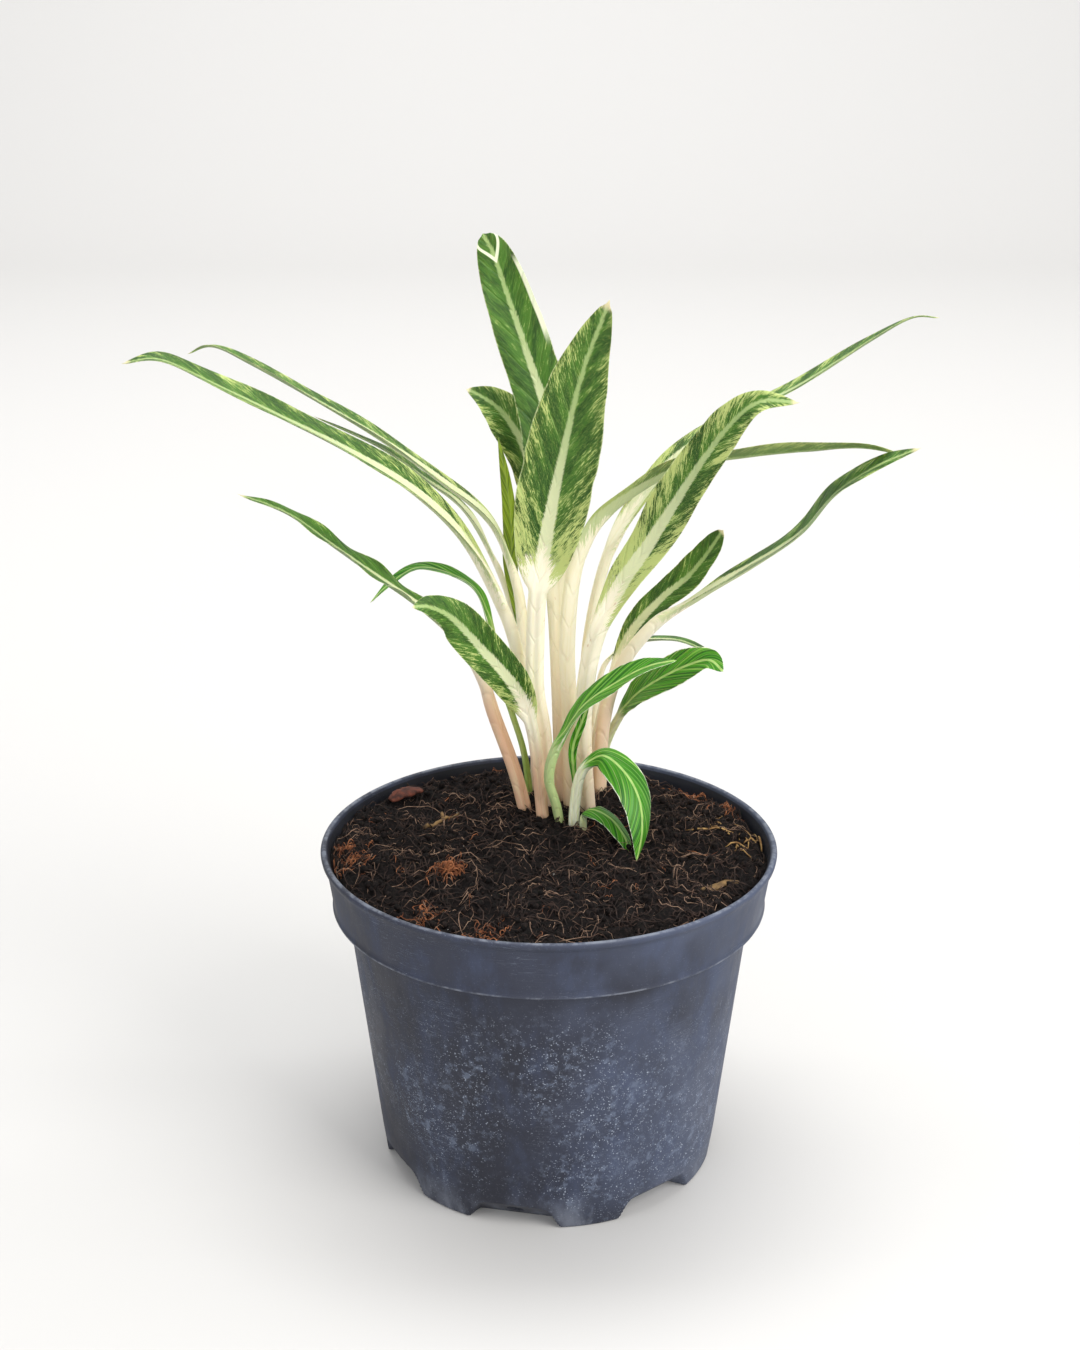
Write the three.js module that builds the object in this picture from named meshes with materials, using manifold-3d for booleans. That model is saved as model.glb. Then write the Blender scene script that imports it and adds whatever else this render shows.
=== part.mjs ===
// A chinese evergreen in a 17 cm nursery pot: the pot, the potting mix, every leaf with its petiole,
// and the loose litter on the mix. Millimetres, +Z up, +X to the right and +Y away from the front.
// The origin is the middle of the pot's underside.
import * as THREE from "three";
import { ParametricGeometry } from "three/addons/geometries/ParametricGeometry.js";
import { mergeVertices } from "three/addons/utils/BufferGeometryUtils.js";
import Module from "manifold-3d";

const wasm = await Module();
wasm.setup();

// ---- Driving dimensions ----
const GAP = 0.3; // clearance between touching pieces
const WALL = 1.6; // thickness of the pot's plastic
const POT_HEIGHT = 127;
const RIM_RADIUS = 85; // outside of the lip
const COLLAR_TOP_RADIUS = 83.4; // collar just under the lip
const COLLAR_FOOT_RADIUS = 80.6; // collar at its ledge
const SHOULDER_RADIUS = 75.6; // body just under the ledge
const BASE_RADIUS = 63.7;
const LEDGE_HEIGHT = 104; // underside of the collar
const LIP_DEPTH = 2.6; // how far the rolled lip reaches down
const CORNER = 1.5; // rounding between the body and the underside
const POT_SIDES = 72;

const NOTCHES = 7; // drain notches round the foot
const FIRST_NOTCH = -102; // its bearing in degrees, from +X anticlockwise
const NOTCH_WIDTH = 29;
const NOTCH_HEIGHT = 10.5;
const NOTCH_DEPTH = 9.5; // how far in it reaches at the underside
const NOTCH_ROUNDING = 3; // its corners, flared at the underside and rounded at the top
const NOTCH_DIP = 1.5; // how far below the underside a notch cutter starts
const DRAIN_RADIUS = 3.2; // hole through the slanted face of each notch
const DRAIN_SIDES = 16;

const MIX_EDGE = 121.5; // height of the mix against the wall
const MIX_CROWN = 5.5; // how much higher it stands in the middle
const MIX_SIDES = 56;

const LUMP_SIDES = 10; // around a lump of litter
const LUMP_ROWS = 6;

const LEAF_SIDES = 8; // corners of a leaf's cross-section
const ROWS_PER_SPAN = 3; // cross-sections between two points of a route
const BLADE_THICKNESS = 1.2;
const TIP_RADIUS = 0.45;

// ---- Leaves ----
// route: the midrib, from the buried foot to the tip. blade: the index of the route point where the
// blade begins. half: half the blade's width. widest: the share of the blade's length at which it is
// widest. taper: 1 for a straight-sided tip, less for a blunter one. stalk: the petiole's radius.
// fold: rise of the margins over the midrib, as a share of the distance from it. faces: where the
// upper side looks, at the petiole and at the tip.
const LEAVES = {
  leaf_left_long: {
    route: [[-1, 33, 113], [-4, 31, 155], [-11, 26, 190], [-17, 20, 212], [-30, 12, 240],
      [-48, 6, 260], [-70, 0, 276], [-93, -7, 290], [-114, -12, 302], [-131, -16, 311],
      [-144, -17, 310]],
    blade: 3, half: 11, widest: 0.35, taper: 0.7, stalk: 3, fold: 0.25,
    faces: [[0, -0.2, 1], [0, -0.1, 1]],
  },
  leaf_left_upper: {
    route: [[-5, 46, 113], [-5, 42, 159], [-9, 40, 188], [-12, 41, 214], [-21, 44, 237],
      [-41, 49, 253], [-64, 54, 268], [-89, 59, 282], [-112, 63, 294], [-126, 65, 300],
      [-136, 66, 297]],
    blade: 3, half: 8, widest: 0.45, taper: 1, stalk: 2.3, fold: 0.25,
    faces: [[0, 0.15, 1], [0, 0.15, 1]],
  },
  leaf_left_inner: {
    route: [[-1, 53, 113], [-7, 52, 161], [-12, 53, 192], [-19, 54, 216], [-31, 56, 238],
      [-46, 58, 250], [-63, 60, 262], [-89, 63, 274]],
    blade: 3, half: 6, widest: 0.45, taper: 1, stalk: 1.6, fold: 0.25,
    faces: [[0, 0.1, 1], [0, 0.1, 1]],
  },
  leaf_left_low: {
    route: [[-6, 24, 113], [-12, 25, 141], [-21, 26, 168], [-25, 24, 183], [-33, 21, 199],
      [-46, 17, 213], [-61, 11, 226], [-77, 5, 240], [-92, 0, 253], [-109, -6, 262]],
    blade: 4, half: 7.5, widest: 0.45, taper: 1, stalk: 2.8, fold: 0.25,
    faces: [[0, -0.2, 1], [0, -0.15, 1]],
  },
  leaf_left_front: {
    route: [[-1, 16, 113], [-4, 16, 149], [-7, 12, 170], [-13, 4, 187], [-24, -5, 204],
      [-34, -12, 218], [-42, -17, 224], [-48, -20, 225]],
    blade: 2, half: 7.5, widest: 0.4, taper: 0.9, stalk: 2.4, fold: 0.25,
    faces: [[-0.2, -0.7, 0.6], [-0.2, -0.7, 0.6]],
  },
  leaf_left_young: {
    route: [[-6, 39, 113], [-9, 40, 143], [-14, 40, 162], [-20, 40, 181], [-22, 40, 198],
      [-27, 40, 212], [-37, 39, 219], [-49, 37, 222], [-59, 34, 217], [-67, 31, 210]],
    blade: 4, half: 4.5, widest: 0.4, taper: 1, stalk: 1.4, fold: 0.25,
    faces: [[0, -0.1, 1], [0, -0.1, 1]],
  },
  leaf_back_left: {
    route: [[5, 44, 113], [3, 46, 166], [1, 50, 205], [-3, 54, 236], [-8, 57, 260],
      [-15, 59, 273], [-22, 60, 280], [-31, 60, 285]],
    blade: 2, half: 8, widest: 0.55, taper: 0.8, stalk: 1.8, fold: 0.25,
    faces: [[-0.3, -0.7, 0.6], [-0.3, -0.5, 0.7]],
  },
  leaf_back_spear: {
    route: [[3, 39, 113], [-3, 46, 162], [-10, 48, 191], [-14, 49, 216], [-14, 49, 234],
      [-16, 50, 253], [-19, 51, 269]],
    blade: 2, half: 3.2, widest: 0.45, taper: 1, stalk: 1.6, fold: 0.3,
    faces: [[-1, -0.4, 0], [-1, -0.4, 0]],
  },
  leaf_back_tall: {
    route: [[6, 34, 113], [4, 37, 168], [3, 40, 208], [2, 44, 242], [-1, 48, 277],
      [-8, 51, 300], [-15, 52, 321], [-20, 51, 336], [-24, 50, 344]],
    blade: 2, half: 10, widest: 0.4, taper: 0.5, stalk: 2.8, fold: 0.25,
    faces: [[0.1, -1, 0.3], [0, -1, 0.3]],
  },
  leaf_front_centre: {
    route: [[0, 26, 113], [-2, 21, 158], [-5, 18, 180], [-5, 16, 201], [-4, 12, 221],
      [0, 6, 249], [5, 0, 276], [11, -7, 304], [20, -14, 331]],
    blade: 4, half: 13, widest: 0.42, taper: 0.75, stalk: 3.4, fold: 0.2,
    faces: [[-0.1, -1, 0.25], [-0.1, -1, 0.25]],
  },
  leaf_front_right: {
    route: [[16, 25, 113], [13, 24, 157], [14, 20, 183], [18, 16, 204], [26, 12, 223],
      [36, 8, 240], [45, 3, 257], [54, -3, 274], [63, -8, 288], [72, -12, 296], [85, -14, 296]],
    blade: 3, half: 9, widest: 0.45, taper: 1, stalk: 3.5, fold: 0.2,
    faces: [[-0.5, -0.75, 0.3], [-0.4, -0.7, 0.5]],
  },
  leaf_right_mid: {
    route: [[9, 27, 113], [8, 30, 163], [7, 30, 196], [10, 28, 226], [19, 26, 244],
      [34, 23, 257], [51, 20, 266], [71, 17, 270], [91, 13, 273], [110, 9, 275], [125, 6, 273]],
    blade: 3, half: 7.5, widest: 0.45, taper: 1, stalk: 3, fold: 0.25,
    faces: [[0, 0.35, 0.9], [0, 0.5, 0.8]],
  },
  leaf_right_back: {
    route: [[15, 39, 113], [14, 38, 160], [15, 38, 193], [22, 39, 226], [34, 42, 247],
      [49, 46, 263], [70, 52, 276], [94, 58, 287], [120, 65, 302], [136, 69, 310], [147, 70, 310]],
    blade: 3, half: 7.5, widest: 0.35, taper: 1.1, stalk: 2.3, fold: 0.25,
    faces: [[-0.4, -0.3, 0.8], [0, 0.3, 1]],
  },
  leaf_right_long: {
    route: [[20, 43, 113], [21, 43, 154], [27, 40, 180], [40, 34, 201], [57, 28, 215],
      [75, 22, 228], [91, 15, 242], [102, 9, 258], [115, 4, 269], [130, 0, 277]],
    blade: 3, half: 8.5, widest: 0.55, taper: 0.9, stalk: 3.1, fold: 0.25,
    faces: [[-0.2, 0.1, 1], [-0.5, -0.2, 0.85]],
  },
  leaf_right_inner: {
    route: [[14, 48, 113], [19, 50, 150], [25, 49, 175], [32, 47, 193], [43, 43, 208],
      [53, 40, 218], [60, 38, 228], [65, 36, 237]],
    blade: 2, half: 6.5, widest: 0.55, taper: 0.6, stalk: 1.9, fold: 0.2,
    faces: [[-0.4, -0.7, 0.6], [-0.4, -0.7, 0.6]],
  },
  leaf_right_behind: {
    route: [[13, 58, 113], [18, 59, 152], [22, 60, 175], [33, 60, 184], [48, 59, 186],
      [59, 57, 183], [68, 54, 178]],
    blade: 2, half: 5, widest: 0.45, taper: 1, stalk: 1.3, fold: 0.2,
    faces: [[0, 0.15, 1], [0, 0.15, 1]],
  },
  leaf_right_young: {
    route: [[21, 52, 113], [22, 52, 141], [28, 45, 160], [33, 34, 172], [41, 24, 182],
      [51, 17, 190], [59, 12, 194], [64, 8, 191]],
    blade: 2, half: 6.8, widest: 0.45, taper: 0.8, stalk: 1.8, fold: 0.2,
    faces: [[-0.3, -0.7, 0.6], [-0.1, -0.7, 0.7]],
  },
  leaf_front_young: {
    route: [[6, 19, 113], [3, 13, 134], [0, 9, 148], [3, 7, 162], [12, 3, 179],
      [25, 0, 190], [36, -3, 197], [46, -5, 200]],
    blade: 3, half: 6, widest: 0.45, taper: 1, stalk: 2.3, fold: 0.25,
    faces: [[-0.5, -0.3, 0.8], [0, -0.3, 0.95]],
  },
  leaf_front_spear: {
    route: [[10, 15, 113], [10, 17, 139], [9, 17, 156], [12, 14, 168], [15, 12, 177]],
    blade: 1, half: 1.8, widest: 0.5, taper: 1, stalk: 0.8, fold: 0.2,
    faces: [[0, -1, 0], [0, -1, 0]],
  },
  leaf_front_droop: {
    route: [[9, 9, 113], [10, 10, 139], [13, 9, 152], [20, 5, 159], [28, -2, 155],
      [33, -8, 147], [34, -13, 137], [32, -17, 126]],
    blade: 2, half: 7, widest: 0.5, taper: 0.9, stalk: 2.1, fold: -0.3,
    faces: [[-0.2, -0.5, 0.9], [0.9, -0.6, 0.3]],
  },
  leaf_front_low: {
    route: [[14, 6, 113], [13, 6, 133], [16, 3, 138], [23, -1, 136], [28, -7, 131],
      [30, -12, 125]],
    blade: 1, half: 4.5, widest: 0.45, taper: 1, stalk: 1.4, fold: -0.3,
    faces: [[0, -0.2, 1], [0.5, -0.3, 0.8]],
  },
};

// ---- Solids ----

// A manifold-3d solid from a closed three.js geometry.
function solidOf(geometry) {
  const bare = new THREE.BufferGeometry();
  bare.setAttribute("position", geometry.getAttribute("position"));
  bare.setIndex(geometry.index);
  const merged = mergeVertices(bare, 1e-3);
  return new wasm.Manifold(new wasm.Mesh({
    numProp: 3,
    vertProperties: merged.attributes.position.array,
    triVerts: new Uint32Array(merged.index.array),
  }));
}

// A three.js geometry from a manifold-3d solid.
function geometryOf(solid) {
  const mesh = solid.getMesh();
  const geometry = new THREE.BufferGeometry();
  geometry.setAttribute("position", new THREE.BufferAttribute(mesh.vertProperties, 3));
  geometry.setIndex(new THREE.BufferAttribute(mesh.triVerts, 1));
  geometry.computeVertexNormals();
  return geometry;
}

const vector = (p) => new THREE.Vector3(...p);
const profile = (points) => points.map(([r, z]) => new THREE.Vector2(r, z));

// A profile of [radius, height] points turned about +Z.
function turned(points, sides) {
  return new THREE.LatheGeometry(profile(points), sides).rotateX(Math.PI / 2);
}

// Outside radius of the body at a height, on the straight line from the base to the shoulder.
function bodyRadius(z) {
  return BASE_RADIUS + ((SHOULDER_RADIUS - BASE_RADIUS) * z) / LEDGE_HEIGHT;
}

// ---- Pot ----

// One notch's outline in the plane of radius and height, set back by a wall on its slanted side.
function notchOutline(setback) {
  const outside = RIM_RADIUS;
  const slant = setback * Math.SQRT2;
  return new THREE.Shape([
    new THREE.Vector2(BASE_RADIUS - NOTCH_DEPTH - slant, -NOTCH_DIP),
    new THREE.Vector2(outside, -NOTCH_DIP),
    new THREE.Vector2(outside, NOTCH_HEIGHT + slant),
    new THREE.Vector2(BASE_RADIUS + 1 - slant / 2, NOTCH_HEIGHT + slant),
    new THREE.Vector2(BASE_RADIUS - NOTCH_DEPTH - slant, 0),
  ]);
}

// The arch a notch shows from outside, in the plane of width and height. Each side is an S that
// flares out at the underside and rounds in at the top.
function notchArch(setback) {
  const half = NOTCH_WIDTH / 2 + setback;
  const top = NOTCH_HEIGHT + setback * Math.SQRT2;
  const flared = half + NOTCH_ROUNDING;
  const arch = new THREE.Shape();
  arch.moveTo(-flared, -NOTCH_DIP);
  arch.quadraticCurveTo(-half, -NOTCH_DIP, -half + NOTCH_ROUNDING / 2, (top - NOTCH_DIP) / 2);
  arch.quadraticCurveTo(-half + NOTCH_ROUNDING, top, -half + 2 * NOTCH_ROUNDING, top);
  arch.lineTo(half - 2 * NOTCH_ROUNDING, top);
  arch.quadraticCurveTo(
    half - NOTCH_ROUNDING, top, half - NOTCH_ROUNDING / 2, (top - NOTCH_DIP) / 2);
  arch.quadraticCurveTo(half, -NOTCH_DIP, flared, -NOTCH_DIP);
  return arch;
}

// A ring of notch cutters: what the outline, run across, and the arch, run outwards, have in common.
function notchCutters(setback) {
  const width = NOTCH_WIDTH + 2 * (NOTCH_ROUNDING + setback);
  const cutters = [];
  for (let i = 0; i < NOTCHES; i++) {
    const wedge = new THREE.ExtrudeGeometry(notchOutline(setback), {
      depth: width,
      bevelEnabled: false,
    });
    wedge.translate(0, 0, -width / 2).rotateX(Math.PI / 2);
    const arch = new THREE.ExtrudeGeometry(notchArch(setback), {
      depth: RIM_RADIUS,
      curveSegments: 4,
      bevelEnabled: false,
    });
    arch.rotateX(Math.PI / 2).rotateZ(Math.PI / 2);
    const turn = THREE.MathUtils.degToRad(FIRST_NOTCH + (360 / NOTCHES) * i);
    cutters.push(solidOf(wedge.rotateZ(turn)).intersect(solidOf(arch.rotateZ(turn))));
  }
  return cutters.reduce((all, one) => all.add(one));
}

// Round holes through the slanted faces, square to them.
function drainCutters() {
  const middle = vector([BASE_RADIUS - NOTCH_DEPTH / 2, 0, NOTCH_HEIGHT / 2]);
  const cutters = [];
  for (let i = 0; i < NOTCHES; i++) {
    const hole = new THREE.CylinderGeometry(DRAIN_RADIUS, DRAIN_RADIUS, 6 * WALL, DRAIN_SIDES);
    hole.rotateX(Math.PI / 2).rotateY((3 * Math.PI) / 4).translate(...middle.toArray());
    hole.rotateZ(THREE.MathUtils.degToRad(FIRST_NOTCH + (360 / NOTCHES) * i));
    cutters.push(solidOf(hole));
  }
  return cutters.reduce((all, one) => all.add(one));
}

function nurseryPot() {
  const lip = POT_HEIGHT - LIP_DEPTH;
  const outer = turned([
    [0, 0], [BASE_RADIUS - CORNER, 0], [bodyRadius(CORNER), CORNER],
    [SHOULDER_RADIUS, LEDGE_HEIGHT], [COLLAR_FOOT_RADIUS, LEDGE_HEIGHT],
    [COLLAR_FOOT_RADIUS + 0.6, LEDGE_HEIGHT + 0.8], [COLLAR_TOP_RADIUS, lip - 0.4],
    [RIM_RADIUS - 0.3, lip], [RIM_RADIUS, lip + 0.6], [RIM_RADIUS, POT_HEIGHT - 0.7],
    [RIM_RADIUS - 0.6, POT_HEIGHT], [0, POT_HEIGHT],
  ], POT_SIDES);
  const inner = turned([
    [0, WALL], [BASE_RADIUS - WALL - 1, WALL], [SHOULDER_RADIUS - WALL, LEDGE_HEIGHT + WALL],
    [COLLAR_FOOT_RADIUS - WALL, LEDGE_HEIGHT + WALL], [COLLAR_TOP_RADIUS - WALL, lip],
    [RIM_RADIUS - 2 * WALL, POT_HEIGHT + 1], [0, POT_HEIGHT + 1],
  ], POT_SIDES);
  const cavity = solidOf(inner).subtract(notchCutters(WALL));
  return geometryOf(
    solidOf(outer).subtract(notchCutters(0)).subtract(cavity).subtract(drainCutters()));
}

// ---- Potting mix ----

// Height of the mix at a distance from the pot's axis: a low dome.
function mixHeight(r) {
  const edge = COLLAR_TOP_RADIUS;
  return MIX_EDGE + MIX_CROWN * (1 - (r / edge) ** 2);
}

function pottingMix() {
  const clear = WALL + GAP;
  const chamfer = NOTCH_HEIGHT + 4 * WALL;
  const foot = BASE_RADIUS - NOTCH_DEPTH - 5 * WALL;
  const step = LEDGE_HEIGHT + clear;
  const brim = COLLAR_TOP_RADIUS - 0.4 - clear;
  const points = [
    [0, clear], [foot, clear], [bodyRadius(chamfer) - clear - 1, chamfer],
    [SHOULDER_RADIUS - clear - 0.4, step], [COLLAR_FOOT_RADIUS - clear, step], [brim, MIX_EDGE - 1],
  ];
  for (const share of [0.99, 0.9, 0.75, 0.6, 0.45, 0.3, 0.15, 0])
    points.push([brim * share, mixHeight(brim * share)]);
  const sockets = Object.values(LEAVES).map((leaf) => solidOf(leafGeometry(leaf, GAP)));
  return geometryOf(sockets.reduce(
    (mix, socket) => mix.subtract(socket), solidOf(turned(points, MIX_SIDES))));
}

// ---- Leaf shape ----

// Half width of the blade at s, from 0 at its base to 1 at its tip: a lance shape.
function bladeHalf(leaf, s) {
  const { half, widest, taper } = leaf;
  const rise = (taper * widest) / (1 - widest);
  return half * (s / widest) ** rise * ((1 - s) / (1 - widest)) ** taper;
}

// A tube with a flat elliptical section, carried along the route. Below the blade it is the petiole,
// and above it the section widens into the blade, with its margins raised by the fold.
// grow adds a skin all round, to cut a socket with.
function leafGeometry(leaf, grow = 0) {
  const curve = new THREE.CatmullRomCurve3(leaf.route.map(vector), false, "catmullrom", 0.5);
  const spans = leaf.route.length - 1;
  const rows = spans * ROWS_PER_SPAN;
  const start = leaf.blade / spans;
  const [low, high] = leaf.faces.map(vector);
  return new ParametricGeometry((u, v, target) => {
    const angle = 2 * Math.PI * (u % 1);
    const s = Math.max(0, (v - start) / (1 - start));
    const cap = Math.min(1, v * rows, (1 - v) * rows);
    const stalk = leaf.stalk * (1 - s) + TIP_RADIUS * s;
    const half = Math.hypot(stalk, bladeHalf(leaf, s)) + grow;
    const deep = Math.max(stalk * 0.85 * (1 - s) ** 3, BLADE_THICKNESS / 2) + grow;
    const tangent = curve.getTangent(v);
    const normal = low.clone().lerp(high, s);
    normal.addScaledVector(tangent, -normal.dot(tangent)).normalize();
    const side = normal.clone().cross(tangent);
    const across = half * Math.cos(angle) * cap;
    const rise = leaf.fold * Math.max(0, Math.abs(across) - stalk);
    curve.getPoint(v, target);
    target.addScaledVector(side, across);
    target.addScaledVector(normal, deep * Math.sin(angle) * cap + rise);
  }, LEAF_SIDES, rows);
}

// ---- Litter ----

// A rounded lump of the given length, width and height, turned about +Z and set down on the mix.
function lump(x, y, sizes, bearing) {
  const shape = new THREE.SphereGeometry(0.5, LUMP_SIDES, LUMP_ROWS).rotateX(Math.PI / 2);
  shape.scale(...sizes).rotateZ(THREE.MathUtils.degToRad(bearing));
  return settle(shape, x, y);
}

// Moves a shape over (x, y) with its lowest point a gap above the mix.
function settle(shape, x, y) {
  shape.computeBoundingBox();
  const { min, max } = shape.boundingBox;
  const reach = Math.hypot(x, y) - Math.max(max.x - min.x, max.y - min.y) / 2;
  const height = mixHeight(Math.max(0, reach)) + GAP;
  return shape.translate(x, y, height - min.z);
}

// A round rod along a route, with closed ends.
function rod(route, radius, sides = 6) {
  const section = new THREE.Shape();
  section.absarc(0, 0, radius, 0, 2 * Math.PI);
  const curve = new THREE.CatmullRomCurve3(route.map(vector), false, "catmullrom", 0.5);
  return new THREE.ExtrudeGeometry(section, {
    extrudePath: curve,
    steps: 3 * (route.length - 1),
    curveSegments: sides,
    bevelEnabled: false,
  });
}

function forkedTwig() {
  const stem = solidOf(rod([[-7, -6, 0], [0, 0, 0.4], [6, 7, 0.8]], 0.9));
  const branch = solidOf(rod([[0, 0, 0.4], [-1, 5, 0.6], [-1, 9, 1]], 0.7));
  return settle(geometryOf(stem.add(branch)), -40, 18);
}

// ---- Scene ----

const finish = {
  plastic: new THREE.MeshStandardMaterial({ color: 0x3b4150, roughness: 0.6 }),
  mix: new THREE.MeshStandardMaterial({ color: 0x2a1c16, roughness: 1 }),
  leaf: new THREE.MeshStandardMaterial({ color: 0x4f8a3c, roughness: 0.4 }),
  young: new THREE.MeshStandardMaterial({ color: 0x5fae3a, roughness: 0.4 }),
  wood: new THREE.MeshStandardMaterial({ color: 0x8a6a3c, roughness: 0.9 }),
};

const plant = new THREE.Group();

function place(name, geometry, material) {
  const mesh = new THREE.Mesh(geometry, material);
  mesh.name = name;
  plant.add(mesh);
}

place("nursery_pot", nurseryPot(), finish.plastic);
place("potting_mix", pottingMix(), finish.mix);
for (const [name, leaf] of Object.entries(LEAVES)) {
  const green = /young|spear|droop|low$/.test(name) ? finish.young : finish.leaf;
  place(name, leafGeometry(leaf), green);
}
place("coir_tuft", lump(-36, -28, [10, 7, 4.5], 20), finish.wood);
place("bark_piece", lump(-56, 42, [15, 8, 3], 35), finish.wood);
place("wood_chip", lump(61, -32, [17, 4.5, 2.5], 25), finish.wood);
place("forked_twig", forkedTwig(), finish.wood);
place("straw", settle(rod([[-6, -8, 0], [0, 0, 0.5], [5, 9, 0]], 0.6), 74, 3), finish.wood);

export default plant;
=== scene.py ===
"""A chinese evergreen in a 17 cm nursery pot, on a plain pale floor.

Metres, +Z up, the front of the plant towards -Y. Every new piece is a surface worked out as whole
numpy arrays from a function of two parameters, and sits at the origin with its place in its mesh.
"""
import math

import bpy
import numpy as np
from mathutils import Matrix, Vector


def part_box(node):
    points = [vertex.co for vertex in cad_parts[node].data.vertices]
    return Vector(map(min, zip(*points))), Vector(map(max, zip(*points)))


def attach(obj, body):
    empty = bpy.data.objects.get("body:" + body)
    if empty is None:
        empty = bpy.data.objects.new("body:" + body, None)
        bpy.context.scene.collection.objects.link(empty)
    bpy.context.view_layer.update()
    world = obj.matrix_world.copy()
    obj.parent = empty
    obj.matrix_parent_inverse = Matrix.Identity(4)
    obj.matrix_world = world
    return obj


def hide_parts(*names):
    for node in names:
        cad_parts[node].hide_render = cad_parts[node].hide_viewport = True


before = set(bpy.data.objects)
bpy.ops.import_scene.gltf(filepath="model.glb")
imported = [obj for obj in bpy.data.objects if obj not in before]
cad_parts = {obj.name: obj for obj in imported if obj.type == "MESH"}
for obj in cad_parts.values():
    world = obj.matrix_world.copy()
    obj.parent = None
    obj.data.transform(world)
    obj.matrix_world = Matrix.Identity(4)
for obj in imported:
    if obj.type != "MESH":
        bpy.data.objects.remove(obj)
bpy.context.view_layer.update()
BODY = "root"

# ---- Driving sizes of the pot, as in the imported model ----
POT_LOW, POT_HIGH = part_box("nursery_pot")
POT_HEIGHT = POT_HIGH[2]
RIM_RADIUS = (POT_HIGH[0] - POT_LOW[0]) / 2
WALL = 0.0016
COLLAR_TOP_RADIUS = RIM_RADIUS - 0.0016
COLLAR_FOOT_RADIUS = RIM_RADIUS - 0.0044
SHOULDER_RADIUS = RIM_RADIUS - 0.0094
BASE_RADIUS = RIM_RADIUS - 0.0213
LEDGE_HEIGHT = POT_HEIGHT - 0.023
LIP_DEPTH = 0.0026
NOTCHES = 7
FIRST_NOTCH = math.radians(-102)
NOTCH_WIDTH = 0.029
NOTCH_HEIGHT = 0.0105
NOTCH_DEPTH = 0.0095
NOTCH_ROUNDING = 0.003
DRAIN_RADIUS = 0.0032
BEAD_RADIUS = 0.0012  # rounding of the lip
HEEL_RADIUS = 0.0012  # rounding between the body and the underside
HUB_RADIUS = 0.001  # middle of the floor, filled by one face

# ---- Potting mix ----
MIX_EDGE = 0.1215
MIX_CROWN = 0.0055
MIX_RADIUS = COLLAR_TOP_RADIUS - WALL - 0.0004

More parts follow.
